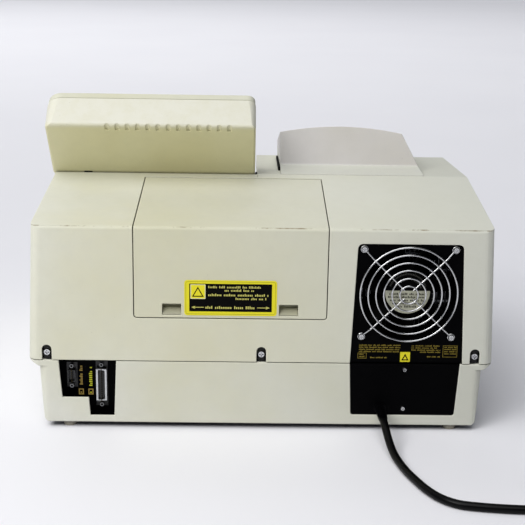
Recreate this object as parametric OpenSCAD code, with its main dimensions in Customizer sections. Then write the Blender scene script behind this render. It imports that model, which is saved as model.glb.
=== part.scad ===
// Bench-top thermal cycler with a flip-up sample lid, an arched display hood,
// a rear coolant access door, a fan-cooled refrigeration system and a mains lead.
// +Z is up, the operator stands at -Y, the rear panel faces +Y.
// The origin is the centre of the footprint, on the surface the feet stand on.

/* [Housing] */
// Overall width across the seam between cover and base
housing_w = 543; // [536:1:550]
// Depth from the front nose to the rear face
housing_d = 500; // [496:1:506]
// Height of the rubber feet
foot_h = 6.5; // [5:0.5:8]
// Height of the base tray above the feet
base_h = 77.5; // [76:0.5:79]
// Height of the upright rear face of the top cover
rear_face_h = 160.5; // [158:0.5:163]
// Wall thickness of the moulded top cover
cover_wall = 3.5; // [3:0.1:4]
// Wall thickness of the base tray
base_wall = 3; // [2.5:0.1:3.4]
// Draft of the housing sides from the vertical, in degrees
side_draft = 2.5; // [2:0.1:3]
// Radius of the housing's upright corners
corner_r = 12; // [8:0.5:13]

/* [Roof and console] */
// Distance from the rear face to the break where the roof turns into the deck
roof_l = 187; // [185:1:189]
// Height gained from the rear edge to the roof break
roof_rise = 26.5; // [25:0.5:28]
// Length of the deck in front of the break
deck_l = 194; // [190:1:198]
// Fall of the deck towards the front, in degrees
deck_pitch = 2.4; // [2:0.1:3]
// Side wall of the raised console, measured from the middle of the housing
console_x = 6; // [4:0.5:6]

/* [Sample lid] */
// Length of the lid from its hinge to its front crease
lid_l = 92; // [88:1:94]
// Height of the lid at its front
lid_h = 50; // [48:1:52]
// Lean of the open lid past the vertical, in degrees
lid_lean = 38; // [34:1:40]
// Wall thickness of the lid shell
lid_wall = 3; // [2.5:0.1:3.5]
// Number of finger grooves along the front crease
grip_count = 13; // [9:1:15]

/* [Sample block] */
// Wells across the block
well_columns = 8; // [6:1:8]
// Wells from front to back
well_rows = 6; // [4:1:6]
// Spacing of the wells
well_pitch = 12.5; // [12:0.1:12.7]
// Diameter of a well
well_d = 8.2; // [7.8:0.1:8.6]

/* [Rear panel] */
// Outer size of the square cooling fan
fan_size = 119; // [118:0.5:120]
// Spacing of the fan mounting holes
fan_pitch = 104.8; // [104:0.1:105.2]
// Wire diameter of the finger guard
guard_wire = 1.9; // [1.6:0.1:2.4]

/* [Mains lead] */
// Outer diameter of the mains lead
lead_d = 8.5; // [8:0.1:9]

/* [Hidden] */

$fn = 48;

// Levels and planes of the housing
guard_proud = 4;                        // the finger guard stands this far behind the rear face
front_y = -(housing_d + guard_proud) / 2;
rear_y = front_y + housing_d;
half_w = housing_w / 2;
base_z = foot_h;
seam_z = base_z + base_h;
rear_top_z = seam_z + rear_face_h;
break_y = rear_y - roof_l;
break_z = rear_top_z + roof_rise;
deck_front_y = break_y - deck_l;
deck_front_z = break_z - deck_l * tan(deck_pitch);
nose_y = front_y + 16;                  // foot of the sloping front
nose_z = seam_z + 34;
slope_angle = atan2(deck_front_z - nose_z, deck_front_y - nose_y);
far = 400;                              // reaches past the housing in any direction

// Sample lid: the hinge axis lies just inside the roof break
hinge_y = break_y - 4.5;
hinge_z = break_z - 2;
lid_top = 2;                            // the lid's top face above the hinge axis when closed
lid_swing = 90 + lid_lean + deck_pitch; // from resting open to closed
lid_x0 = console_x + 3;                 // inner side of the lid
lid_x1 = half_w - 4.5;                  // outer side at the top face
lid_x2 = half_w - 2;                    // outer side at the lip
lid_rim_t = 8.4;                        // height of the inner tray's rim, which forms the lip
lid_groove_h = 1.2;                     // groove between the rim and the shell
knuckle_r = 4;
hinge_rod_r = 2;
running_gap = 0.05;                     // radial clearance of a pin in its bore
shelf_drop = lid_h + 1.2;               // the shelf below the hinge axis
bracket_x = 217;                        // outer hinge bracket
bracket_w = 10;

// Access door
door_x0 = -75.5;
door_x1 = 148.3;
door_z0 = base_z + 129.6;
door_y0 = break_y + 14.5;
door_gap = 1;
door_corner_r = 4;
door_edge_r = cover_wall / 2;           // the rolled upper edge that the door turns on
door_axis_y = door_y0 + door_gap + door_edge_r;
door_axis_z = roof_z(door_axis_y) - door_edge_r / cos(atan2(roof_rise, roof_l));
latch_w = 22;
latch_h = 13.4;
latch_xs = [104.2, -30.7];
latch_z = base_z + 140.6;
latch_pocket_d = 14;

// Rear openings
fan_x = -168.3;
fan_z = base_z + 162.1;
panel_face = rear_y - cover_wall - 0.2; // outer face of the recessed black panel
panel_t = 2;
cover_screw_xs = [-249.5, 0, 249.5];
cover_screw_z = base_z + 86.4;
gland_x = -141.5;
gland_z = 27;

// Height of the roof's surface
function roof_z(y) = rear_top_z + (rear_y - y) * roof_rise / roof_l;

// ---------------------------------------------------------------- outlines

function unit(v) = v / norm(v);
function turn(v) = [-v.y, v.x];

// A corner b of an outline, rounded by an arc of radius b[2] between a and c
function corner(a, b, c, steps = 6) =
  let (r = len(b) > 2 ? b[2] : 0, p = [b.x, b.y])
  r <= 0 ? [p] :
  let (
    u = unit([a.x, a.y] - p),
    v = unit([c.x, c.y] - p),
    half = acos(u * v) / 2,
    centre = p + unit(u + v) * r / sin(half),
    from = p + u * r / tan(half) - centre,
    to = p + v * r / tan(half) - centre,
    a0 = atan2(from.y, from.x),
    raw = atan2(to.y, to.x) - a0,
    sweep = raw > 180 ? raw - 360 : raw < -180 ? raw + 360 : raw
  )
  [for (i = [0:steps]) centre + r * [cos(a0 + sweep * i / steps), sin(a0 + sweep * i / steps)]];

// The outline through points [x, y, corner radius]
function outline(pts) =
  let (n = len(pts))
  [for (i = [0:n - 1]) each corner(pts[(i + n - 1) % n], pts[i], pts[(i + 1) % n])];

// A counter-clockwise outline moved inwards by d
function inset(pts, d) =
  let (n = len(pts))
  [for (i = [0:n - 1])
    let (
      a = pts[(i + n - 1) % n], b = pts[i], c = pts[(i + 1) % n],
      n1 = turn(unit([b.x - a.x, b.y - a.y])),
      n2 = turn(unit([c.x - b.x, c.y - b.y])),
      m = [b.x, b.y] + d * (n1 + n2) / (1 + n1 * n2)
    )
    [m.x, m.y, len(b) > 2 ? max(b[2] - d, 0) : 0]];

function rect(x0, y0, x1, y1, r = 0) = [[x0, y0, r], [x1, y0, r], [x1, y1, r], [x0, y1, r]];

// ------------------------------------------------------------ shape helpers

// Outline in the YZ plane extruded along X
module prism_yz(points, x0, x1) {
  translate([x0, 0, 0]) rotate([90, 0, 90]) linear_extrude(x1 - x0) polygon(outline(points));
}

// Outline in the XZ plane extruded along Y
module prism_xz(points, y0, y1) {
  translate([0, y1, 0]) rotate([90, 0, 0]) linear_extrude(y1 - y0) polygon(outline(points));
}

// Outline in the XY plane extruded along Z
module prism_xy(points, z0, z1) {
  translate([0, 0, z0]) linear_extrude(z1 - z0) polygon(outline(points));
}

module box(x0, y0, z0, x1, y1, z1) {
  translate([x0, y0, z0]) cube([x1 - x0, y1 - y0, z1 - z0]);
}

// Drawing plane on the rear face: x runs to the viewer's right, y up, z outwards
module on_rear(x, z, y = rear_y) {
  translate([x, y, z]) rotate([90, 0, 180]) children();
}

// Closed position of the lid, with its origin on the hinge axis
module bay_frame() {
  translate([0, hinge_y, hinge_z]) rotate([deck_pitch, 0, 0]) children();
}

// Resting, open position of the lid
module lid_frame() {
  translate([0, hinge_y, hinge_z]) rotate([deck_pitch - lid_swing, 0, 0]) children();
}

// The sloping front: -y runs down the slope, z outwards
module on_slope() {
  translate([0, deck_front_y, deck_front_z]) rotate([slope_angle, 0, 0]) children();
}

module along_x(x0, x1, r) {
  translate([x0, 0, 0]) rotate([0, 90, 0]) cylinder(r = r, h = x1 - x0);
}

// Screw with a tapered pan head and a cross recess
module pan_screw(r, head, shank_r = 1.6, shank = 6) {
  recess_l = r * 1.1;
  recess_w = r * 0.3;
  difference() {
    cylinder(r1 = r, r2 = r * 0.75, h = head);
    for (a = [0, 90])
      rotate([0, 0, a]) translate([-recess_l / 2, -recess_w / 2, head / 2]) cube([recess_l, recess_w, head]);
  }
  translate([0, 0, -shank]) cylinder(r = shank_r, h = shank + 0.5);
}

// ------------------------------------------------------------- swept tubes

function catmull(a, b, c, d, t) =
  0.5 * (2 * b + (c - a) * t + (2 * a - 5 * b + 4 * c - d) * t * t
    + (3 * b - a - 3 * c + d) * t * t * t);

// A smooth curve through the points, with n steps between neighbours
function smooth(p, n) =
  let (last = len(p) - 1)
  [for (i = [0:last - 1]) for (j = [0:n - 1])
    catmull(p[max(i - 1, 0)], p[i], p[i + 1], p[min(i + 2, last)], j / n),
    p[last]];

function heading(p, i) = unit(p[min(i + 1, len(p) - 1)] - p[max(i - 1, 0)]);

// A round tube along a path, as one closed polyhedron
module tube(path, r, sides = 10, ref = [0, 0, 1]) {
  n = len(path);
  ring = function (i)
    let (t = heading(path, i), s = unit(cross(t, ref)), u = cross(s, t))
    [for (k = [0:sides - 1]) path[i] + r * (cos(360 * k / sides) * s + sin(360 * k / sides) * u)];
  points = [for (i = [0:n - 1]) each ring(i)];
  walls = [for (i = [0:n - 2]) for (k = [0:sides - 1])
    let (a = i * sides + k, b = i * sides + (k + 1) % sides)
    [a, b, b + sides, a + sides]];
  start = [for (k = [0:sides - 1]) sides - 1 - k];
  end = [for (k = [0:sides - 1]) (n - 1) * sides + k];
  polyhedron(points, concat([start], walls, [end]), convexity = 6);
}

// --------------------------------------------------------------- the cover

// Side view of the right half, which steps down to the sample shelf
function low_profile(bottom) =
  let (
    shelf_z = hinge_z - shelf_drop,
    edge_y = hinge_y - lid_l - 6
  )
  [
    [rear_y, bottom, 0], [rear_y, rear_top_z, 4], [break_y, break_z, 1],
    [break_y, shelf_z, 2], [edge_y, shelf_z - (hinge_y - edge_y) * tan(deck_pitch), 6],
    [nose_y, nose_z, 12], [front_y, nose_z - 22, 6], [front_y, bottom, 0]
  ];

// Side view of the left half, which carries the console
function high_profile(bottom) = [
  [rear_y, bottom, 0], [rear_y, rear_top_z, 4], [break_y, break_z, 2],
  [deck_front_y, deck_front_z, 10], [nose_y, nose_z, 12],
  [front_y, nose_z - 22, 6], [front_y, bottom, 0]
];

// Plan of the cover with rounded corners, tilted so that one side has its draft
module drafted_plan(side, t) {
  plan = rect(-housing_w, front_y, 0, rear_y, corner_r);
  translate([side * half_w, 0, seam_z]) rotate([0, -side * side_draft, 0])
    mirror([side > 0 ? 0 : 1, 0, 0])
      prism_xy(inset(plan, t), -far, far);
}

// Solid shape of the cover, moved inwards by t and open towards the base
module cover_solid(t = 0) {
  bottom = t > 0 ? seam_z - 20 : seam_z;
  intersection() {
    union() {
      prism_yz(inset(low_profile(bottom), t), -far, far);
      prism_yz(inset(high_profile(bottom), t), -far, console_x - t);
    }
    drafted_plan(1, t);
    drafted_plan(-1, t);
  }
}

module cover_skin() {
  difference() {
    cover_solid();
    cover_solid(cover_wall);
  }
}

// The L-shaped zone of the access door, over the rear face and the roof
module door_zone(gap) {
  r = door_corner_r - gap;
  prism_xz([
    [door_x0 + gap, door_z0 + gap, r], [door_x1 - gap, door_z0 + gap, r],
    [door_x1 - gap, far, 0], [door_x0 + gap, far, 0]
  ], door_y0 + gap, far);
}

// Window in the rear face for the black panel, wider towards its foot
module panel_window_cover() {
  prism_xz([
    [fan_x + 59.7, base_z + 221, 6], [fan_x - 61, base_z + 221, 6],
    [fan_x - 67, seam_z - 1, 0], [fan_x + 64.7, seam_z - 1, 0]
  ], rear_y - 12, rear_y + 2);
}

// The same window goes on down the base tray, narrower towards its foot
module panel_window_base() {
  prism_xz([
    [fan_x + 64.7, seam_z + 1, 0], [fan_x - 64.5, seam_z + 1, 0],
    [fan_x - 60.7, base_z + 12.5, 3], [fan_x + 61.8, base_z + 12.5, 3]
  ], rear_y - 12, rear_y + 2);
}

// Round-topped notch over a screw at the seam
module screw_notch(x) {
  notch_r = 5.6;
  centre_z = cover_screw_z + 3.7;
  translate([x, rear_y + 1, centre_z]) rotate([90, 0, 0]) cylinder(r = notch_r, h = 8);
  box(x - notch_r, rear_y - 7, seam_z - 1, x + notch_r, rear_y + 1, centre_z);
}

module top_cover() {
  color([0.84, 0.82, 0.76])
  difference() {
    cover_skin();
    door_zone(0);
    panel_window_cover();
    for (x = cover_screw_xs) screw_notch(x);
    bay_frame() bay_opening();
    on_slope() keypad_pocket();
    on_hood_front() display_recess();
  }
}

module access_door() {
  tongue_xs = [-50, 36.4, 123];
  color([0.82, 0.81, 0.74])
  difference() {
    union() {
      intersection() {
        cover_skin();
        door_zone(door_gap);
        box(-far, door_axis_y, 0, far, far, far);
      }
      translate([0, door_axis_y, door_axis_z]) along_x(door_x0 + door_gap, door_x1 - door_gap, door_edge_r);
      for (x = tongue_xs) door_tongue(x);
      for (x = latch_xs) latch_pocket(x);
    }
    for (x = latch_xs)
      box(x - latch_w / 2, rear_y - 5, latch_z - latch_h / 2,
          x + latch_w / 2, rear_y + 1, latch_z + latch_h / 2);
  }
}

// Hook that holds the door's upper edge under the roof
module door_tongue(x) {
  skin_z = function (y) roof_z(y) - cover_wall;
  back = door_y0 + 22;
  front = door_y0 - 7;
  prism_yz([
    [front, skin_z(front) - 0.8], [front, skin_z(front) - 3.2],
    [back, skin_z(back) - 3.2], [back, skin_z(back) + 0.5],
    [door_axis_y, skin_z(door_axis_y) + 0.8], [door_axis_y - 0.6, skin_z(door_axis_y) - 0.8]
  ], x - 12, x + 12);
}

// Five-sided pocket behind a finger slot
module latch_pocket(x) {
  wall = 1.6;
  deep = rear_y - latch_pocket_d;
  difference() {
    box(x - latch_w / 2 - wall, deep - wall, latch_z - latch_h / 2 - wall,
        x + latch_w / 2 + wall, rear_y - cover_wall + 0.2, latch_z + latch_h / 2 + wall);
    box(x - latch_w / 2, deep, latch_z - latch_h / 2,
        x + latch_w / 2, rear_y, latch_z + latch_h / 2);
  }
}

// Sloped thumb tab that is pressed inwards to free the door
module door_latch(x) {
  gap = 0.4;
  low = latch_z - latch_h / 2 + gap;
  color([0.78, 0.77, 0.7])
  prism_yz([
    [rear_y - 1, low], [rear_y - 1, low + 1.2], [rear_y - 8.5, low + 6.6],
    [rear_y - 10, low + 6.6], [rear_y - 10, low]
  ], x - latch_w / 2 + gap, x + latch_w / 2 - gap);
}

module door_latch_left() { door_latch(latch_xs[0]); }
module door_latch_right() { door_latch(latch_xs[1]); }

module door_label() {
  color([0.12, 0.11, 0.08])
  box(-16.9, rear_y, base_z + 133.8, 89.6, rear_y + 0.5, base_z + 176.2);
}

// ------------------------------------------------------------ the base tray

base_foot_half = half_w - 17;
base_top_half = half_w - 12;
base_lip_half = half_w - 0.5;
base_lip_h = 7.5;
seam_groove_h = 0.9;                    // shadow groove under the cover's lower edge
seam_groove_deep = 2;
base_front = front_y + 11;

// Outer plan of the tray below its lip
function base_plan() = rect(-base_top_half, base_front, base_top_half, rear_y, corner_r - 1);

function base_front_outline() = [
  [-base_foot_half, base_z, 7], [base_foot_half, base_z, 7], [base_top_half, seam_z - base_lip_h, 0],
  [base_lip_half, seam_z - 1.5, 0], [base_lip_half, seam_z, 0],
  [-base_lip_half, seam_z, 0], [-base_lip_half, seam_z - 1.5, 0], [-base_top_half, seam_z - base_lip_h, 0]
];

function base_side_outline() = [
  [rear_y, base_z, 2], [rear_y, seam_z, 0], [front_y + 0.5, seam_z, 0],
  [front_y + 0.5, seam_z - 1.5, 0], [base_front, seam_z - base_lip_h, 0], [front_y + 20, base_z, 4]
];

module base_block() {
  lip_plan = rect(-base_lip_half, front_y, base_lip_half, rear_y, corner_r);
  intersection() {
    prism_xz(base_front_outline(), -far, far);
    prism_yz(base_side_outline(), -far, far);
    union() {
      prism_xy(base_plan(), base_z, seam_z - base_lip_h);
      prism_xy(lip_plan, seam_z - base_lip_h, seam_z - seam_groove_h);
      prism_xy(inset(lip_plan, seam_groove_deep), seam_z - base_lip_h, seam_z);
    }
  }
}

module base_cavity() {
  t = base_wall;
  intersection() {
    prism_xz([
      [-base_foot_half + t, base_z + t], [base_foot_half - t, base_z + t],
      [base_top_half - t, seam_z - 8], [base_top_half - t, seam_z + 1],
      [-base_top_half + t, seam_z + 1], [-base_top_half + t, seam_z - 8]
    ], -far, far);
    prism_yz([
      [rear_y - t, base_z + t], [rear_y - t, seam_z + 1], [base_front + t, seam_z + 1],
      [base_front + t, seam_z - 8], [front_y + 20 + t, base_z + t]
    ], -far, far);
    prism_xy(inset(base_plan(), t), base_z, seam_z + 1);
  }
}

// L-shaped window over the interface connectors
module port_window() {
  prism_xz([
    [169.1, seam_z + 1], [172.2, base_z + 8.6], [200.4, base_z + 8.6], [201.8, base_z + 31],
    [232.8, base_z + 31], [236.3, seam_z + 1]
  ], rear_y - 12, rear_y + 2);
}

foot_spots = [for (x = [-226, 226]) for (y = [front_y + 44, rear_y - 12]) [x, y]];

module base_tray() {
  color([0.8, 0.79, 0.71]) {
    difference() {
      base_block();
      base_cavity();
      panel_window_base();
      port_window();
      for (p = foot_spots) translate([p.x, p.y, 0]) cylinder(r = 2.1, h = 30);
      on_switch() translate([-9.7, -13.7, -20]) cube([19.4, 27.4, 40]);
    }
    for (x = cover_screw_xs) screw_tab(x);
  }
}

// Upright tab that a cover screw bites into
module screw_tab(x) {
  half = 4;
  y1 = rear_y - cover_wall - 0.3;
  difference() {
    box(x - half, y1 - 4, seam_z - 16, x + half, y1, cover_screw_z + 14);
    translate([x, y1 + 1, cover_screw_z]) rotate([90, 0, 0]) cylinder(r = 1.6, h = 8);
  }
  box(x - half, y1 - 4, seam_z - 16, x + half, rear_y - base_wall + 0.5, seam_z - 8);
}

module rubber_feet() {
  color([0.16, 0.16, 0.17])
  for (p = foot_spots) translate([p.x, p.y, 0]) {
    cylinder(r1 = 7.6, r2 = 8.8, h = foot_h);
    cylinder(r = 2.1, h = foot_h + base_wall + 0.2);
  }
}

module cover_screws() {
  color([0.75, 0.76, 0.78])
  for (x = cover_screw_xs) on_rear(x, cover_screw_z, rear_y - cover_wall - 0.3) pan_screw(4.6, 2.4);
}

// Folded inner plate that carries the electronics and the cooling system
module chassis_plate() {
  z0 = base_z + base_wall + 5;
  color([0.66, 0.68, 0.7])
  difference() {
    union() {
      box(-238, front_y + 30, z0, 238, rear_y - 30, z0 + 1.6);
      box(-238, front_y + 30, z0, 238, front_y + 31.6, z0 + 14);
      for (p = foot_spots) translate([p.x * 0.94, p.y * 0.8, base_z + base_wall]) cylinder(r = 5, h = 5.2);
    }
    box(120, rear_y - 60, z0 - 1, 240, rear_y, z0 + 3);
  }
}

// ------------------------------------------------------- console and hood

hood_rear_y = break_y - 40;
hood_crown_x = -102;
hood_arch_r = 390;
hood_pitch = 12.7;                      // fall of the hood's top towards the front
hood_crest_z = break_z + 55.5;
hood_wall = 3;
window_w = 146;
window_h = 38;

// Arched roof of the hood, extruded along its own falling axis
module hood_arch(t) {
  n = 16;
  reach = 106;
  arch = [for (i = [0:n]) let (x = reach - 2 * reach * i / n) [x, -x * x / (2 * hood_arch_r) - t]];
  translate([hood_crown_x, hood_rear_y - 9, hood_crest_z]) rotate([hood_pitch, 0, 0])
    prism_xz(concat([[-reach, -160], [reach, -160]], arch), -190, 60);
}

// Front view: one upright and one sloping flank
function hood_front(bottom) = [
  [-hood_flank_x(bottom), bottom, 0], [-26, bottom, 0],
  [-22.5, break_z + 80, 0], [-hood_flank_x(break_z + 80), break_z + 80, 0]
];
function hood_flank_x(z) = 205.5 - (z - break_z - 6) * 0.54;

// Side view: the roof slope runs on up to the hood's rear wall
function hood_side(bottom) = [
  [break_y - 1, bottom, 0], [break_y - 1, break_z + 0.2, 0], [hood_rear_y, break_z + 5.8, 3],
  [hood_rear_y - 9, hood_crest_z + 8, 0], [-146, hood_crest_z + 8, 0],
  [-146, hood_crest_z - 36, 2], [-153, 226, 0], [-154, bottom, 0]
];

// Reaches down into the cover, which is cut away from it
module hood_solid(t = 0) {
  bottom = t > 0 ? 150 : 200;
  intersection() {
    hood_arch(t);
    prism_xz(inset(hood_front(bottom), t), -far, far);
    prism_yz(inset(hood_side(bottom), t), -far, far);
  }
}

// Drawing plane on the hood's front face, z outwards
module on_hood_front() {
  translate([hood_crown_x, -149.2, 257]) rotate([90 - 7.4, 0, 0]) children();
}

// Cut in the deck, under the hood, that the display stands in
module display_recess() {
  translate([-window_w / 2 - 0.5, -window_h / 2 - 0.5, -17]) cube([window_w + 1, window_h + 1, 13.4]);
}

module display_hood() {
  color([0.8, 0.79, 0.74])
  difference() {
    hood_solid();
    hood_solid(hood_wall);
    cover_solid();
    on_hood_front() translate([-window_w / 2, -window_h / 2, -30]) cube([window_w, window_h, 60]);
  }
}

// Black foam strip along the foot of the hood's upright flank
module hood_seal() {
  color([0.08, 0.08, 0.09])
  difference() {
    prism_yz([
      [hood_rear_y + 4, break_z - 2.5], [hood_rear_y + 4, break_z + 4.5],
      [hood_rear_y - 118, break_z - 2.4], [hood_rear_y - 118, break_z - 9]
    ], -24.9, -21.4);
    cover_solid();
    hood_solid();
  }
}

module display_window() {
  color([0.1, 0.14, 0.12])
  on_hood_front() translate([-window_w / 2 + 0.2, -window_h / 2 + 0.2, -6])
    cube([window_w - 0.4, window_h - 0.4, 2]);
}

module lcd_module() {
  color([0.16, 0.33, 0.25])
  on_hood_front() difference() {
    translate([-window_w / 2 + 3, -window_h / 2 + 2, -15]) cube([window_w - 6, window_h - 4, 8.8]);
    translate([-60, -12, -7.2]) cube([120, 24, 4]);
  }
}

keypad_w = 168;
keypad_h = 104;
keypad_top = 50;                        // down the slope from the deck edge

module keypad_pocket() {
  translate([hood_crown_x - keypad_w / 2, -keypad_top - keypad_h, -0.6]) cube([keypad_w, keypad_h, 5]);
  translate([hood_crown_x - 20, -keypad_top - 60, -10]) cube([40, 8, 20]);
}

// Membrane with raised keys, in a number block and a function block
module keypad_overlay() {
  gap = 0.3;
  color([0.28, 0.36, 0.42])
  on_slope() {
    translate([hood_crown_x - keypad_w / 2 + gap, -keypad_top - keypad_h + gap, -0.6])
      cube([keypad_w - 2 * gap, keypad_h - 2 * gap, 1.1]);
    for (row = [0:3]) for (col = [0:6]) {
      shift = col > 2 ? 12 : 0;
      translate([hood_crown_x - 73 + col * 20 + shift, -keypad_top - 20 - row * 22, 0.4])
        prism_xy(rect(-7.5, -6.5, 7.5, 6.5, 2), 0, 0.8);
    }
  }
}

module keypad_board() {
  color([0.1, 0.35, 0.2])
  on_slope() translate([hood_crown_x - 78, -keypad_top - keypad_h + 5, -cover_wall - 6])
    cube([156, keypad_h - 10, 1.6]);
}

// ------------------------------------------------------------ the sample lid

// Plan, front and side outlines of the lid around its hinge axis, when closed
function lid_plan() = [
  [lid_x0, -lid_l - 2, 11], [lid_x2, -lid_l - 2, 19], [lid_x2, 0.6, 0], [lid_x0, 0.6, 0]
];
function lid_front(bottom) = [
  [lid_x0, bottom, 0], [lid_x2, bottom, 0], [lid_x1, lid_top, 3], [lid_x0, lid_top, 3]
];
function lid_side(bottom) = [
  [-lid_l - 2, bottom, 0], [0, bottom, 0], [0, lid_top, 0], [-lid_l, lid_top, 4]
];

module lid_solid(t, bottom) {
  intersection() {
    prism_xy(inset(lid_plan(), t), -100, 20);
    prism_xz(inset(lid_front(bottom - t), t), -200, 50);
    prism_yz(inset(lid_side(bottom - t), t), -far, far);
  }
}

// Finger grooves across the front crease
module lid_grips() {
  grip_pitch = 12.5;
  first_x = 116.5 - grip_pitch * (grip_count - 1) / 2;
  for (i = [0:grip_count - 1])
    translate([first_x + i * grip_pitch, -lid_l - 2, lid_top + 0.6]) rotate([-90, 0, 0])
      cylinder(r = 2.8, h = 12, $fn = 24);
}

// Ends of the knuckle along the hinge axis, with a gap for the outer bracket
knuckle_spans = [
  [lid_x0, bracket_x - 0.6],
  [bracket_x + bracket_w + 0.6, lid_x1 - 2]
];

module lid_shell() {
  shell_bottom = -lid_h + lid_rim_t + lid_groove_h;
  color([0.86, 0.84, 0.76])
  lid_frame() difference() {
    union() {
      difference() {
        lid_solid(0, shell_bottom);
        translate([0, 0, -0.01]) lid_solid(lid_wall, shell_bottom - 1);
        lid_grips();
      }
      for (s = knuckle_spans) along_x(s[0], s[1], knuckle_r);
    }
    along_x(0, far, hinge_rod_r + running_gap);
    box(bracket_x - 0.6, -6, -6, bracket_x + bracket_w + 0.6, 6, 6);
  }
}

// Inner tray: a rim that shows below the shell, and a recess that clears the tube caps
tray_deep = 13;                         // depth of the recess
tray_plan = rect(36, -lid_l + 2, 236, -6, 8);

module lid_liner() {
  color([0.76, 0.75, 0.7])
  lid_frame() difference() {
    union() {
      intersection() {
        prism_xy(inset(lid_plan(), 0.8), -lid_h, -lid_h + lid_rim_t);
        prism_yz(rect(-lid_l - 2, -lid_h - 1, -3, 0), -far, far);
      }
      difference() {
        prism_xy(inset(lid_plan(), lid_wall + 0.8), -lid_h, -lid_h + 14);
        prism_xy(inset(lid_plan(), lid_wall + 3), -lid_h - 1, -lid_h + 20);
        box(-far, -3, -lid_h - 1, far, 5, 0);
      }
      prism_xy(tray_plan, -lid_h, -lid_h + tray_deep + 3);
    }
    prism_xy(inset(tray_plan, 3), -lid_h - 1, -lid_h + tray_deep);
  }
}

module lid_insulation() {
  color([0.9, 0.88, 0.7])
  lid_frame()
    prism_xy(rect(lid_x0 + 8, -lid_l + 6, lid_x1 - 8, -8, 14), -lid_h + tray_deep + 3.1, -2);
}

module lid_pad() {
  color([0.55, 0.2, 0.15])
  lid_frame()
    prism_xy(rect(76, -lid_l + 10, 196, -12, 3), -lid_h + tray_deep - 4, -lid_h + tray_deep);
}

module lid_hinge_rod() {
  color([0.7, 0.72, 0.74])
  translate([0, hinge_y, hinge_z]) along_x(console_x + 0.4, lid_x1 - 2.4, hinge_rod_r);
}

// Ears on the bay's rear wall that hold the hinge rod
module hinge_bracket(x0, x1) {
  difference() {
    union() {
      translate([0, hinge_y, hinge_z]) along_x(x0, x1, knuckle_r);
      box(x0, hinge_y + 1, hinge_z - 14, x1, break_y - 0.02, hinge_z);
    }
    translate([0, hinge_y, hinge_z]) along_x(x0 - 1, x1 + 1, hinge_rod_r);
  }
}

module lid_hinge_brackets() {
  color([0.1, 0.1, 0.11]) {
    hinge_bracket(bracket_x, bracket_x + bracket_w);
    hinge_bracket(console_x + 0.3, lid_x0 - 0.4);
  }
}

// ---------------------------------------------------------- the sample block

block_x = 136;
block_y = -47;                          // centre of the block in the closed lid's frame
block_w = well_columns * well_pitch + 8;
block_d = well_rows * well_pitch + 4;
block_t = 26;
block_top = 0.6;                        // the block stands this far above the shelf
block_foot = block_top - block_t;
heater_t = 1.15;
plate_t = 13.3;
stack_gap = 0.05;                       // between the block, the heater and the cold plate
plate_top = block_foot - heater_t - 2 * stack_gap;
shelf = -shelf_drop;
sensor_z = shelf + block_foot + 0.4;

module bay_opening() {
  prism_xy(rect(block_x - block_w / 2 - 8, block_y - 41.5, block_x + block_w / 2 + 8, block_y + 41.5),
           shelf - 12, shelf + 12);
}

module bay_surround() {
  w = block_w / 2;
  d = block_d / 2;
  color([0.2, 0.21, 0.22])
  bay_frame() difference() {
    union() {
      translate([block_x, block_y, 0])
        prism_xy(rect(-w - 12, -43.5, w + 12, 43.5, 4), shelf + 0.05, shelf + 0.65);
      translate([block_x, block_y, 0])
        prism_xy(rect(-w - 7.7, -41.2, w + 7.7, 41.2), shelf - 14, shelf + 0.5);
    }
    translate([block_x, block_y, 0])
      prism_xy(rect(-w - 0.3, -d - 0.3, w + 0.3, d + 0.3), shelf - 20, shelf + 5);
  }
}

module sample_block() {
  color([0.78, 0.79, 0.8])
  bay_frame() translate([block_x, block_y, 0]) difference() {
    prism_xy(rect(-block_w / 2, -block_d / 2, block_w / 2, block_d / 2),
             shelf + block_foot, shelf + block_top);
    for (i = [0:well_columns - 1]) for (j = [0:well_rows - 1])
      translate([(i - (well_columns - 1) / 2) * well_pitch,
                 (j - (well_rows - 1) / 2) * well_pitch, shelf - 16]) {
        cylinder(r = well_d / 2, h = 20, $fn = 32);
        translate([0, 0, -4]) cylinder(r1 = 1.5, r2 = well_d / 2, h = 4.01, $fn = 32);
      }
  }
}

module block_slab(z0, z1, grow = 0) {
  bay_frame() translate([block_x, block_y, 0])
    prism_xy(rect(-block_w / 2 - grow, -block_d / 2 - grow, block_w / 2 + grow, block_d / 2 + grow),
             shelf + z0, shelf + z1);
}

module block_heater() {
  color([0.7, 0.4, 0.15]) block_slab(plate_top + stack_gap, block_foot - stack_gap, -2);
}

// Machined plate that the coolant flows through, with two hose tails at the rear
module cold_plate() {
  color([0.7, 0.72, 0.73]) {
    block_slab(plate_top - plate_t, plate_top);
    for (x = hose_xs) bay_frame() translate([x, 0, shelf - block_t - 7]) rotate([-90, 0, 0])
      translate([0, 0, block_y + block_d / 2 - 1]) cylinder(r = 4, h = 19);
  }
}

module block_sensor() {
  color([0.85, 0.7, 0.3])
  bay_frame() translate([block_x + block_w / 2 + 0.2, block_y, sensor_z]) {
    cube([3, 8, 10]);
    translate([2.5, 4, 5]) rotate([0, 90, 0]) cylinder(r = 1.2, h = 12);
  }
}

module block_insulation() {
  color([0.85, 0.84, 0.78])
  difference() {
    block_slab(-block_t - 20, -15, 7);
    block_slab(plate_top - plate_t - 0.3, 5, 0.5);
    bay_frame() translate([block_x + block_w / 2, block_y - 3, sensor_z - 1]) cube([30, 14, 18]);
    for (x = hose_xs) bay_frame() translate([x - 6, block_y, shelf - block_t - 13]) cube([12, 60, 12]);
  }
}

// -------------------------------------------------------------- rear panel

module fan_holes(r, t) {
  for (x = [-1, 1]) for (z = [-1, 1])
    on_rear(fan_x + x * fan_pitch / 2, fan_z + z * fan_pitch / 2, panel_face)
      translate([0, 0, -t - 1]) cylinder(r = r, h = t + 2);
}

inlet_screw_zs = [base_z + 20.7, base_z + 69.3];

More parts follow.
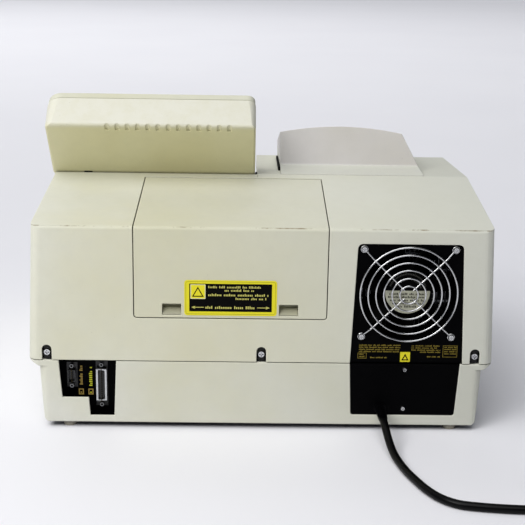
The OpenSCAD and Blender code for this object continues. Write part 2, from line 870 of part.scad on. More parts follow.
module rear_panel() {
  color([0.07, 0.07, 0.08])
  difference() {
    box(fan_x - 72, panel_face - panel_t, base_z + base_wall + 0.5, fan_x + 70, panel_face, base_z + 226);
    on_rear(fan_x, fan_z, panel_face) translate([0, 0, -5]) cylinder(r = 56, h = 10);
    fan_holes(2.2, panel_t);
    for (z = inlet_screw_zs) on_rear(fan_x, z, panel_face) translate([0, 0, -5]) cylinder(r = 1.6, h = 10);
    on_rear(gland_x, gland_z, panel_face) translate([0, 0, -5]) cylinder(r = 6, h = 10);
  }
}

module inlet_cover() {
  color([0.05, 0.05, 0.06])
  difference() {
    prism_xz([
      [fan_x - 63.4, seam_z - 1.2, 2], [fan_x + 63.8, seam_z - 1.2, 2],
      [fan_x + 61.2, base_z + 13, 2], [fan_x - 60.2, base_z + 13, 2]
    ], panel_face, panel_face + 2);
    for (z = inlet_screw_zs) on_rear(fan_x, z, panel_face) translate([0, 0, -5]) cylinder(r = 1.6, h = 10);
    on_rear(gland_x, gland_z, panel_face) translate([0, 0, -5]) cylinder(r = 6, h = 10);
  }
}

module panel_screws() {
  color([0.75, 0.76, 0.78])
  for (z = inlet_screw_zs) on_rear(fan_x, z, panel_face + 2) pan_screw(2.8, 1.6, 1.6, 5);
}

module fan_frame() {
  depth = 38;
  color([0.1, 0.1, 0.11])
  on_rear(fan_x, fan_z, panel_face - panel_t) translate([0, 0, -depth]) {
    difference() {
      prism_xy(rect(-fan_size / 2, -fan_size / 2, fan_size / 2, fan_size / 2, 6), 0, depth);
      translate([0, 0, -1]) cylinder(r = 57, h = depth + 2);
      for (x = [-1, 1]) for (y = [-1, 1]) translate([x * fan_pitch / 2, y * fan_pitch / 2, -1])
        cylinder(r = 2.2, h = depth + 2);
    }
    for (a = [45:90:315]) rotate([0, 0, a]) translate([15, -3, 0]) cube([43, 6, 5]);
    cylinder(r = 24, h = 5);
    cylinder(r = 3, h = 30);
  }
}

module fan_rotor() {
  hub_r = 27.5;
  tip_r = 55;
  color([0.14, 0.14, 0.15])
  on_rear(fan_x, fan_z, panel_face - panel_t) translate([0, 0, -32.5]) difference() {
    union() {
      cylinder(r = hub_r, h = 29);
      intersection() {
        difference() {
          translate([0, 0, 1]) cylinder(r = tip_r, h = 26);
          cylinder(r = hub_r - 1, h = 40);
        }
        union() {
          for (i = [0:6]) rotate([0, 0, i * 360 / 7]) rotate([0, 0, 8])
            translate([25, 0, 14]) rotate([48, 0, 0]) translate([0, -20, -1]) cube([40, 40, 2]);
        }
      }
    }
    translate([0, 0, -1]) cylinder(r = 3 + running_gap, h = 28);
  }
}

guard_radii = [10.5, 19.5, 29, 38, 47, 56];

// Welded wire guard: rings, crossed spokes and an eyelet at each corner
module fan_guard() {
  w = guard_wire / 2;
  ring_z = rear_y + guard_proud - w - panel_face;
  corner_at = fan_pitch / sqrt(2);
  eyelet_r = 3.6;
  spoke_z = ring_z - 1.5 * w;
  color([0.8, 0.81, 0.83])
  on_rear(fan_x, fan_z, panel_face) {
    for (r = guard_radii)
      translate([0, 0, ring_z]) rotate_extrude($fn = 96) translate([r, 0]) circle(r = w, $fn = 16);
    for (a = [45:90:315]) rotate([0, 0, a]) {
      translate([7, 0, spoke_z]) rotate([0, 90, 0]) cylinder(r = w, h = 53, $fn = 16);
      translate([60, 0, spoke_z]) sphere(r = w, $fn = 16);
      guard_leg([60, 0, spoke_z], [corner_at - eyelet_r, 0, w], w);
      translate([corner_at, 0, w]) rotate_extrude($fn = 32) translate([eyelet_r, 0]) circle(r = w, $fn = 16);
    }
  }
}

module guard_leg(a, b, r) {
  v = b - a;
  translate(a) rotate([0, acos(v.z / norm(v)), atan2(v.y, v.x)]) cylinder(r = r, h = norm(v), $fn = 16);
}

module guard_screws() {
  color([0.75, 0.76, 0.78])
  for (x = [-1, 1]) for (z = [-1, 1])
    on_rear(fan_x + x * fan_pitch / 2, fan_z + z * fan_pitch / 2, panel_face + guard_wire + 0.1)
      pan_screw(3.7, 1.6, 2, 9);
}

module rating_plates() {
  color([0.1, 0.1, 0.1]) {
    box(fan_x + 6, panel_face, base_z + 82, fan_x + 59.5, panel_face + 0.3, base_z + 102.3);
    box(fan_x - 60.9, panel_face, base_z + 83.5, fan_x - 7, panel_face + 0.3, base_z + 102.6);
  }
}

module hazard_sticker() {
  color([0.95, 0.8, 0.1])
  box(fan_x - 5.8, panel_face, base_z + 77.5, fan_x + 5.8, panel_face + 0.35, base_z + 91.3);
}

// -------------------------------------------------------------- connectors

port_back = rear_y - 20;
port_flange_t = 1;
jack_inset = 3.2;                       // from the end of a flange to its screw
// Middle of each connector, size of its shell and of its flange, and contacts in its long row
serial = [[223.5, base_z + 52.5], [8.8, 17], [12.6, 31], 5];
parallel = [[188.5, base_z + 41.7], [12.4, 43], [14, 56], 13];
port_label_xs = [202, 213.4];

// Black tray behind the L-shaped window
module port_tray() {
  color([0.06, 0.06, 0.07])
  difference() {
    box(163, port_back - 1.6, base_z + base_wall + 0.3, 241, rear_y - cover_wall - 0.15, seam_z + 4);
    box(165, port_back, base_z + base_wall + 2, 239, rear_y, seam_z + 2);
    port_hole(serial[0], 9.5, 22);
    port_hole(parallel[0], 10, 43);
  }
}

module port_hole(at, w, h) {
  box(at.x - w / 2, port_back - 5, at.y - h / 2, at.x + w / 2, port_back + 1, at.y + h / 2);
}

// D-shaped outline of a connector, upright, with one side shorter than the other
function d_outline(w, h, r) = [
  [-w / 2, -h / 2, r], [w / 2, -h / 2 + 1.6, r], [w / 2, h / 2 - 1.6, r], [-w / 2, h / 2, r]
];

// Upright connector: flange, shell round an insulator, and one row of contacts
module d_connector(connector, shell_wall) {
  shell = connector[1];
  flange = connector[2];
  contacts = connector[3];
  contact_pitch = 2.76;
  on_rear(connector[0].x, connector[0].y, port_back) {
    color([0.75, 0.76, 0.78]) difference() {
      union() {
        translate([-flange.x / 2, -flange.y / 2, 0]) cube([flange.x, flange.y, port_flange_t]);
        prism_xy(d_outline(shell.x, shell.y, 1.5), 0, 6.5);
      }
      prism_xy(inset(d_outline(shell.x, shell.y, 1.5 + shell_wall), shell_wall), 2, 8);
      for (s = [-1, 1]) translate([0, s * (flange.y / 2 - jack_inset), -1]) cylinder(r = 1.6, h = 4);
    }
    color([0.8, 0.7, 0.4]) for (i = [0:contacts - 1])
      translate([0, (i - (contacts - 1) / 2) * contact_pitch, 1]) cylinder(r = 0.5, h = 5, $fn = 16);
  }
}

module serial_connector() { d_connector(serial, 0.6); }
module parallel_connector() { d_connector(parallel, 2.1); }

module connector_screws() {
  color([0.75, 0.76, 0.78])
  for (c = [serial, parallel]) for (s = [-1, 1])
    on_rear(c[0].x, c[0].y + s * (c[2].y / 2 - jack_inset), port_back + port_flange_t) difference() {
      cylinder(r = 2.6, h = 5, $fn = 6);
      translate([0, 0, 1]) cylinder(r = 1.3, h = 6);
    }
}

module port_labels() {
  color([0.75, 0.62, 0.2])
  for (x = port_label_xs)
    box(x - 3, port_back, base_z + 26, x + 3, port_back + 0.4, base_z + 69);
}

// ---------------------------------------------------------- cooling system

tank_x0 = -66;
tank_x1 = 138;
tank_y0 = 112;
tank_y1 = 222;
tank_z0 = 60;
tank_z1 = 200;
tank_wall = 2.5;
hose_xs = [84, 128];
tank_hose_xs = [for (x = hose_xs) min(x, tank_x1 - 14)];
neck_x = 36;
neck_y = 172;
hose_z = 176;

module coolant_tank() {
  color([0.86, 0.87, 0.84])
  difference() {
    union() {
      prism_xy(rect(tank_x0, tank_y0, tank_x1, tank_y1, 10), tank_z0, tank_z1);
      translate([neck_x, neck_y, tank_z1 - 1]) cylinder(r = 20, h = 13);
      for (x = tank_hose_xs) translate([x, tank_y0 + 1, hose_z]) rotate([90, 0, 0]) cylinder(r = 4, h = 14);
      for (x = [tank_x0 + 20, tank_x1 - 20]) for (y = [tank_y0 + 15, tank_y1 - 15])
        translate([x, y, base_z + 9.6]) cylinder(r = 6, h = 50);
    }
    prism_xy(inset(rect(tank_x0, tank_y0, tank_x1, tank_y1, 10), tank_wall),
             tank_z0 + tank_wall, tank_z1 - tank_wall);
    translate([neck_x, neck_y, tank_z1 - 5]) cylinder(r = 17, h = 30);
  }
}

// Quarter-turn cap with grip ribs
module tank_cap() {
  color([0.15, 0.35, 0.6])
  translate([neck_x, neck_y, tank_z1 + 0.5]) difference() {
    union() {
      cylinder(r = 23, h = 15);
      for (i = [0:15]) rotate([0, 0, i * 22.5]) translate([22.2, -1.5, 1]) cube([2.3, 3, 13]);
    }
    translate([0, 0, -1]) cylinder(r = 20.4, h = 13);
  }
}

module coolant_pump() {
  color([0.2, 0.22, 0.24])
  translate([195, 168, base_z + 9.6]) {
    cylinder(r = 26, h = 44);
    translate([0, 0, 44]) cylinder(r = 20, h = 8);
    translate([-30, -20, 0]) cube([60, 40, 8]);
    translate([0, 0, 51]) cylinder(r = 5, h = 14);
  }
}

// Insulated hose from the tank to the cold plate
module coolant_hose(x, r = 6) {
  plate_end = cold_plate_tail();
  tank_end = [min(x, tank_x1 - 14), tank_y0 - 4, hose_z];
  between = tank_end - [x, plate_end.y, plate_end.z];
  tube([for (i = [0:12])
    let (t = i / 12, ease = t * t * (3 - 2 * t))
    [x + between.x * ease, plate_end.y + between.y * t, plate_end.z + between.z * ease]],
    r, 10, [0, 0, 1]);
}

// Middle of the visible length of a hose tail on the cold plate
function cold_plate_tail() =
  let (y = block_y + block_d / 2 + 8, z = shelf - block_t - 7)
  [0, hinge_y + y * cos(deck_pitch) - z * sin(deck_pitch),
   hinge_z + y * sin(deck_pitch) + z * cos(deck_pitch)];

module coolant_hose_feed() { color([0.25, 0.25, 0.27]) coolant_hose(hose_xs[0]); }
module coolant_hose_return() { color([0.25, 0.25, 0.27]) coolant_hose(hose_xs[1]); }

compressor_at = [-150, 78];

module compressor() {
  color([0.09, 0.09, 0.1])
  translate([compressor_at.x, compressor_at.y, base_z + 18]) {
    rotate_extrude() polygon(concat(
      [[0, 0]],
      [for (a = [-90:15:0]) [40 + 14 * cos(a), 14 + 14 * sin(a)]],
      [for (a = [0:15:90]) [54 * cos(a), 70 + 46 * sin(a)]]
    ));
    translate([-66, -14, 40]) cube([20, 28, 30]);
    translate([0, 48, 60]) rotate([-90, 0, 0]) cylinder(r = 3.2, h = 30);
    for (a = [45:90:315]) rotate([0, 0, a]) translate([30, -8, 0]) cube([36, 16, 3]);
  }
}

module compressor_mounts() {
  color([0.2, 0.2, 0.2])
  for (a = [45:90:315])
    translate([compressor_at.x, compressor_at.y, base_z + 9.6]) rotate([0, 0, a])
      translate([58, 0, 0]) cylinder(r = 7, h = 8.4);
}

// Finned condenser in the fan's air path
module condenser() {
  x0 = fan_x - 62;
  color([0.72, 0.73, 0.75]) {
    for (i = [0:24]) box(x0 + i * 5, 160, 110, x0 + i * 5 + 0.9, 196, 224);
    for (z = [122:20:210]) for (y = [169, 187])
      translate([0, y, z]) along_x(x0 - 4, x0 + 125, 3);
    for (x = [x0 - 5, x0 + 123.5]) box(x, 158, base_z + 9.6, x + 1.5, 198, 226);
  }
}

module power_supply() {
  color([0.62, 0.64, 0.66]) box(160, 2, base_z + 9.6, 236, 118, base_z + 70);
  color([0.75, 0.55, 0.2]) translate([205, -42, base_z + 9.6]) difference() {
    cylinder(r = 32, h = 34);
    translate([0, 0, -1]) cylinder(r = 10, h = 36);
  }
}

module main_board() {
  z = base_z + 20;
  color([0.08, 0.36, 0.2]) box(-225, -190, z, 60, -10, z + 1.6);
  color([0.1, 0.1, 0.1])
    for (i = [0:4]) for (j = [0:2])
      box(-205 + i * 50, -172 + j * 52, z + 1.5, -171 + i * 50, -156 + j * 52, z + 5);
  color([0.7, 0.7, 0.72]) for (x = [-215, 50]) for (y = [-180, -20])
    translate([x, y, base_z + 9.6]) cylinder(r = 4, h = 10.5);
}

// ------------------------------------------------------------ power switch

switch_x = 205;
switch_z = base_z + 37;
switch_tilt = 90 + atan2(9, base_h - 7.5);

// Drawing plane on the base tray's front wall, z outwards
module on_switch() {
  y = front_y + 20 - 9 * (switch_z - base_z) / (base_h - 7.5);
  translate([switch_x, y, switch_z]) rotate([switch_tilt, 0, 0]) children();
}

module power_switch_bezel() {
  color([0.08, 0.08, 0.09])
  on_switch() difference() {
    union() {
      translate([0, 0, 0.05]) prism_xy(rect(-12, -16, 12, 16, 2), 0, 1.6);
      prism_xy(rect(-9.4, -13.4, 9.4, 13.4), -22, 0.5);
    }
    prism_xy(rect(-7.4, -11.4, 7.4, 11.4), -14, 3);
    translate([0, 0, -4]) along_x(-9, 9, 1.5 + running_gap);
  }
}

// Rocker resting in its off position
module power_rocker() {
  color([0.12, 0.12, 0.13])
  on_switch() translate([0, 0, -4]) rotate([-7, 0, 0]) {
    prism_yz([[-10.2, 2.2], [-6, -5], [6, -5], [10.2, 2.2], [10.2, 5], [0, 6.4], [-10.2, 5]], -7, 7);
    along_x(-8.8, 8.8, 1.5);
  }
}

// -------------------------------------------------------------- mains lead

lead_r = lead_d / 2;
floor_z = lead_r + 0.1;
relief_l = 34;
coil_at = [-345, 401];
coil_in_r = 30;                         // centre line of the innermost turn
coil_out_r = 58;
coil_layers = 2;
lead_exit = [gland_x, rear_y + relief_l, gland_z];

// Route from the strain relief down to the bench and round to the coil
lead_points = [
  lead_exit, [-142, 290, 25], [-143, 300, 20], [-144.5, 312, 12.5], [-147, 325, 6.8], [-150, 338, 4.4],
  [-154, 356, 4.4], [-159, 377, 4.4], [-167, 400, 4.4], [-178, 422, 4.4], [-192, 440, 4.4],
  [-210, 450, 4.4], [-231, 455, 4.4], [-255, 458, 4.4], [-280, 459, 4.4], [-305, 459.5, 4.4],
  [-328, 459, 4.4], [-345, 459, 4.4]
];

// Route from the top of the coil down to the plug
tail_points = [
  [-403, 401, 12.9], [-403, 390, 12.3], [-403, 378, 9.8],
  [-403.5, 366, 6.6], [-404, 357, 5.6], [-404, 350, 5.6]
];

module mains_lead() {
  color([0.04, 0.04, 0.05]) tube(smooth(lead_points, 2), lead_r, 10);
}

module lead_tail() {
  color([0.04, 0.04, 0.05]) tube(smooth(tail_points, 2), lead_r, 10);
}

// Outer shape of the wound turns
module lead_coil() {
  inner = coil_in_r - lead_r;
  outer = coil_out_r + lead_r;
  height = lead_d * coil_layers;
  color([0.04, 0.04, 0.05])
  translate([coil_at.x, coil_at.y, 0.15]) rotate_extrude()
    polygon(outline(rect(inner, 0, outer, height, 3)));
}

// Ribbed, tapered bend protector pressed into the inlet cover
module strain_relief() {
  color([0.06, 0.06, 0.07])
  on_rear(gland_x, gland_z, panel_face + 2) {
    cylinder(r = 7, h = 1.6);
    translate([0, 0, -6]) cylinder(r = 5.9, h = 7);
    cylinder(r1 = 5.9, r2 = 4.75, h = relief_l + (rear_y - panel_face - 2));
    for (i = [0:4]) translate([0, 0, 6 + i * 5.5]) cylinder(r = 6.2 - i * 0.22, h = 2.6);
  }
}

// Moulded three-pin plug lying flat on the bench
module plug_frame() {
  translate([-404, 350, 13.5]) rotate([0, 0, -3]) rotate([90, 0, 0]) children();
}

module plug_body() {
  color([0.05, 0.05, 0.06])
  plug_frame() {
    translate([0, -7.9, 0]) cylinder(r1 = 5.2, r2 = 5.4, h = 14);
    translate([0, 0, 12]) prism_xy(rect(-12.5, -13.3, 12.5, 11, 5), 0, 26);
    translate([0, 0, 38]) prism_xy(rect(-13.5, -13.3, 13.5, 13, 6), 0, 4);
  }
}

module plug_blades() {
  color([0.82, 0.7, 0.4])
  plug_frame() {
    for (x = [-6.35, 6.35]) translate([x - 0.75, 0, 42]) cube([1.5, 6.5, 17]);
    translate([0, -7.5, 42]) cylinder(r = 2.4, h = 19);
  }
}

// ------------------------------------------------------------------- output

base_tray();
top_cover();
rubber_feet();
cover_screws();
chassis_plate();
access_door();
door_label();
door_latch_left();
door_latch_right();
display_hood();
hood_seal();
display_window();
lcd_module();
keypad_overlay();
keypad_board();
lid_shell();
lid_liner();
lid_insulation();
lid_pad();
lid_hinge_rod();
lid_hinge_brackets();
bay_surround();
sample_block();
block_heater();
cold_plate();
block_sensor();
block_insulation();
rear_panel();
inlet_cover();
panel_screws();
fan_frame();
fan_rotor();
fan_guard();
guard_screws();
rating_plates();
hazard_sticker();
port_tray();
serial_connector();
parallel_connector();
connector_screws();
port_labels();
coolant_tank();
tank_cap();
coolant_pump();
coolant_hose_feed();
coolant_hose_return();
compressor();
compressor_mounts();
condenser();
power_supply();
main_board();
power_switch_bezel();
power_rocker();
strain_relief();
mains_lead();
lead_coil();
lead_tail();
plug_body();
plug_blades();
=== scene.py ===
import math
import random

import bmesh
import bpy
from mathutils import Matrix, Vector


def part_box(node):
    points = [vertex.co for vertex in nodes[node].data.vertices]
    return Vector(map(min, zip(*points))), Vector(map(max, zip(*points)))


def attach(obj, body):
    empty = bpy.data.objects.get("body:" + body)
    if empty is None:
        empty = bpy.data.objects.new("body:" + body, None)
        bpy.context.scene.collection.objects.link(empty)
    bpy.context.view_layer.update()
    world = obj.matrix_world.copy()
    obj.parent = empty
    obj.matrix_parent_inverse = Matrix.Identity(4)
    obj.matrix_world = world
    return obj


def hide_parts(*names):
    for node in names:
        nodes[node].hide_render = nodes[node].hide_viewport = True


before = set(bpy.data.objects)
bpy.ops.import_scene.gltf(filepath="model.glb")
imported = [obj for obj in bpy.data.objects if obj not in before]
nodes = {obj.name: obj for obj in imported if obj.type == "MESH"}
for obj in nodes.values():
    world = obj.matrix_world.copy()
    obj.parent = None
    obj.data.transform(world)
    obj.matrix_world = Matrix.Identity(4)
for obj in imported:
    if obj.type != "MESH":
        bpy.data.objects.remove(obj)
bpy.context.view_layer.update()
MM = 0.001


# ------------------------------------------------------------------ camera

CAMERA_AT = (0.0194, 1.5236, 0.5486)
CAMERA_ANGLES = (15.10, -0.855, 0.923)  # pitch down, yaw and roll, in degrees
CAMERA_LENS = 79.47


def make_camera():
    """Behind the instrument, a little above it, as one looks at its rear panel."""
    pitch, yaw, roll = (math.radians(angle) for angle in CAMERA_ANGLES)
    forward = Vector((math.sin(yaw) * math.cos(pitch), -math.cos(yaw) * math.cos(pitch), -math.sin(pitch)))
    level = forward.cross(Vector((0, 0, 1))).normalized()
    upright = level.cross(forward)
    right = math.cos(roll) * level + math.sin(roll) * upright
    up = -math.sin(roll) * level + math.cos(roll) * upright
    data = bpy.data.cameras.new("camera")
    data.sensor_width = 36
    data.lens = CAMERA_LENS
    camera = bpy.data.objects.new("camera", data)
    bpy.context.collection.objects.link(camera)
    turn = Matrix((right, up, -forward)).transposed().to_4x4()
    camera.matrix_world = Matrix.Translation(CAMERA_AT) @ turn
    bpy.context.scene.camera = camera


make_camera()


# ------------------------------------------------------------- mains lead

LEAD_D = 0.0092
LOW_Z = LEAD_D / 2 + 0.0001             # height of the lead's centre line where it lies on the floor
LEAD_ROUTE = [
    (-0.1415, 0.282, 0.027), (-0.1418, 0.2885, 0.0259), (-0.1427, 0.297, 0.0225), (-0.1442, 0.308, 0.0170),
    (-0.1462, 0.320, 0.0116), (-0.1488, 0.334, 0.0075), (-0.1525, 0.350, 0.0054), (-0.1575, 0.370, LOW_Z),
    (-0.1645, 0.392, LOW_Z), (-0.1735, 0.415, LOW_Z), (-0.185, 0.434, LOW_Z), (-0.201, 0.447, LOW_Z),
    (-0.222, 0.4525, LOW_Z), (-0.247, 0.456, LOW_Z), (-0.275, 0.458, LOW_Z), (-0.305, 0.4588, LOW_Z),
    (-0.328, 0.4588, LOW_Z), (-0.345, 0.4586, LOW_Z),
]
TAIL_ROUTE = [
    (-0.4026, 0.401, LOW_Z + LEAD_D), (-0.4026, 0.390, 0.0131), (-0.403, 0.378, 0.0102),
    (-0.4035, 0.366, 0.0070), (-0.404, 0.357, 0.0056), (-0.404, 0.350, 0.0056),
]
COIL_AT = Vector((-0.345, 0.401, 0))
COIL_OUT_R = 0.0576
COIL_IN_R = 0.030
LOWER_TURNS = 3.0
CLIMB_TURNS = 0.4
COIL_TURNS = 6.25
STEPS_PER_TURN = 48
STEPS_PER_POINT = 6


def smooth_route(points, steps):
    """A smooth curve through the points, with that many steps between neighbours."""
    points = [Vector(p) for p in points]
    last = len(points) - 1
    line = []
    for i in range(last):
        a, b, c, d = (points[min(max(i + k, 0), last)] for k in (-1, 0, 1, 2))
        for j in range(steps):
            t = j / steps
            line.append(0.5 * (2 * b + (c - a) * t + (2 * a - 5 * b + 4 * c - d) * t ** 2
                               + (3 * b - a - 3 * c + d) * t ** 3))
    return line + [points[last]]


def ease(t):
    """Goes from 0 to 1 with a soft start and end."""
    return t * t * (3 - 2 * t)


def coil_point(turns):
    """The lower layer winds inwards, the lead climbs at the inside, and the upper layer winds out."""
    foot_r = COIL_OUT_R - LOWER_TURNS * LEAD_D
    if turns < LOWER_TURNS:
        r, z = COIL_OUT_R - turns * LEAD_D, 0
    elif turns < LOWER_TURNS + CLIMB_TURNS:
        t = ease((turns - LOWER_TURNS) / CLIMB_TURNS)
        r, z = foot_r + (COIL_IN_R - foot_r) * t, LEAD_D * t
    else:
        t = (turns - LOWER_TURNS - CLIMB_TURNS) / (COIL_TURNS - LOWER_TURNS - CLIMB_TURNS)
        r, z = COIL_IN_R + (COIL_OUT_R - COIL_IN_R) * t, LEAD_D
    angle = math.pi / 2 + turns * math.tau
    return COIL_AT + Vector((r * math.cos(angle), r * math.sin(angle), LOW_Z + z))


def make_lead():
    """One smooth tube from the strain relief along the floor, round the coil and down to the plug."""
    coil = [coil_point(i / STEPS_PER_TURN) for i in range(1, int(COIL_TURNS * STEPS_PER_TURN))]
    line = smooth_route(LEAD_ROUTE, STEPS_PER_POINT) + coil + smooth_route(TAIL_ROUTE, STEPS_PER_POINT)
    curve = bpy.data.curves.new("mains_cable", "CURVE")
    curve.dimensions = "3D"
    curve.bevel_depth = 1                   # so that the radius of each point is the radius of the lead
    curve.bevel_resolution = 4
    curve.use_fill_caps = True
    spline = curve.splines.new("POLY")
    spline.points.add(len(line) - 1)
    for point, place in zip(spline.points, line):
        point.co = (*place, 1)
        point.radius = LEAD_D / 2
    lead = bpy.data.objects.new("mains_cable", curve)
    bpy.context.collection.objects.link(lead)
    return lead


lead = make_lead()
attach(lead, "housing")
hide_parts("mains_lead", "lead_coil", "lead_tail")


# ------------------------------------------------------------ mesh helpers

def add_piece(name, bm, materials, body, smooth=False):
    """Makes an object of the mesh, in the row frame, and lets it ride on a body."""
    bmesh.ops.recalc_face_normals(bm, faces=bm.faces)
    mesh = bpy.data.meshes.new(name)
    bm.to_mesh(mesh)
    bm.free()
    for material in materials:
        mesh.materials.append(material)
    if smooth:
        mesh.shade_smooth()
    else:
        mesh.shade_flat()
    piece = bpy.data.objects.new(name, mesh)
    bpy.context.collection.objects.link(piece)
    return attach(piece, body)


def rear_plane(x, y, z):
    """Drawing plane in millimetres that faces the rear: u to the viewer's right, v up, w outwards."""
    return Matrix(((-MM, 0, 0, x), (0, 0, MM, y), (0, MM, 0, z), (0, 0, 0, 1)))


def upright_plane(x, y, z):
    """The same plane for print that reads upwards: u up, v to the viewer's left, w outwards."""
    return Matrix(((0, MM, 0, x), (0, 0, MM, y), (MM, 0, 0, z), (0, 0, 0, 1)))


def middle(node):
    """The middle of a CAD node's box."""
    low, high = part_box(node)
    return (low + high) / 2


def rounded(u0, v0, u1, v1, r=0.0, steps=5):
    """Outline of a rectangle with round corners."""
    if r <= 0:
        return [(u0, v0), (u1, v0), (u1, v1), (u0, v1)]
    centres = [(u1 - r, v1 - r, 0), (u0 + r, v1 - r, 90), (u0 + r, v0 + r, 180), (u1 - r, v0 + r, 270)]

    def on_arc(u, v, degrees):
        angle = math.radians(degrees)
        return u + r * math.cos(angle), v + r * math.sin(angle)

    return [on_arc(u, v, start + 90 * i / steps) for u, v, start in centres for i in range(steps + 1)]


def shrunk(outline, factor):
    """The outline drawn smaller about its middle."""
    n = len(outline)
    cu, cv = sum(u for u, _ in outline) / n, sum(v for _, v in outline) / n
    return [(cu + (u - cu) * factor, cv + (v - cv) * factor) for u, v in outline]


def slab(bm, plane, outline, w0, w1, ink=0):
    """A flat plate of that outline, from height w0 to w1 above the plane."""
    low = [bm.verts.new(plane @ Vector((u, v, w0))) for u, v in outline]
    high = [bm.verts.new(plane @ Vector((u, v, w1))) for u, v in outline]
    n = len(outline)
    faces = [bm.faces.new(low[::-1]), bm.faces.new(high)]
    faces += [bm.faces.new((low[i], low[(i + 1) % n], high[(i + 1) % n], high[i])) for i in range(n)]
    for face in faces:
        face.material_index = ink


def join_rings(bm, rings, ink=0):
    """Faces from each ring of points to the next, and from the last one back to the first."""
    n = len(rings[0])
    for i in range(n):
        j = (i + 1) % n
        for a, b in zip(rings, rings[1:] + rings[:1]):
            bm.faces.new((a[i], a[j], b[j], b[i])).material_index = ink


def frame_slab(bm, plane, outer, inner, w0, w1, ink=0):
    """A flat ring between two outlines with as many points."""
    rings = [[bm.verts.new(plane @ Vector((u, v, w))) for u, v in line]
             for line in (outer, inner) for w in (w0, w1)]
    outer_low, outer_high, inner_low, inner_high = rings
    join_rings(bm, [outer_low, outer_high, inner_high, inner_low], ink)


def print_line(bm, plane, rng, u0, u1, v, height, w0, w1, ink):
    """A line of print without letters: words made of short upright strokes."""
    stroke, gap, word_gap = 0.42 * height, 0.26 * height, 0.75 * height
    u = u0
    while u < u1 - stroke:
        for _ in range(rng.randint(3, 9)):
            if u + stroke > u1:
                break
            tall = height * rng.choice((0.7, 0.7, 1.0))
            slab(bm, plane, rounded(u, v, u + stroke, v + tall), w0, w1, ink)
            u += stroke + gap
        u += word_gap


# --------------------------------------------------------------- materials

def linear(r, g, b):
    """A screen colour, 0 to 255, as the linear colour that a shader takes."""
    def channel(c):
        return c / 255 / 12.92 if c <= 10 else ((c / 255 + 0.055) / 1.055) ** 2.4

    return channel(r), channel(g), channel(b), 1


def toned(shade, factor, lift=0, most=255):
    """The linear colour of a screen colour made darker or lighter, up to a brightest value."""
    return linear(*[min(c * factor + lift, most) for c in shade])


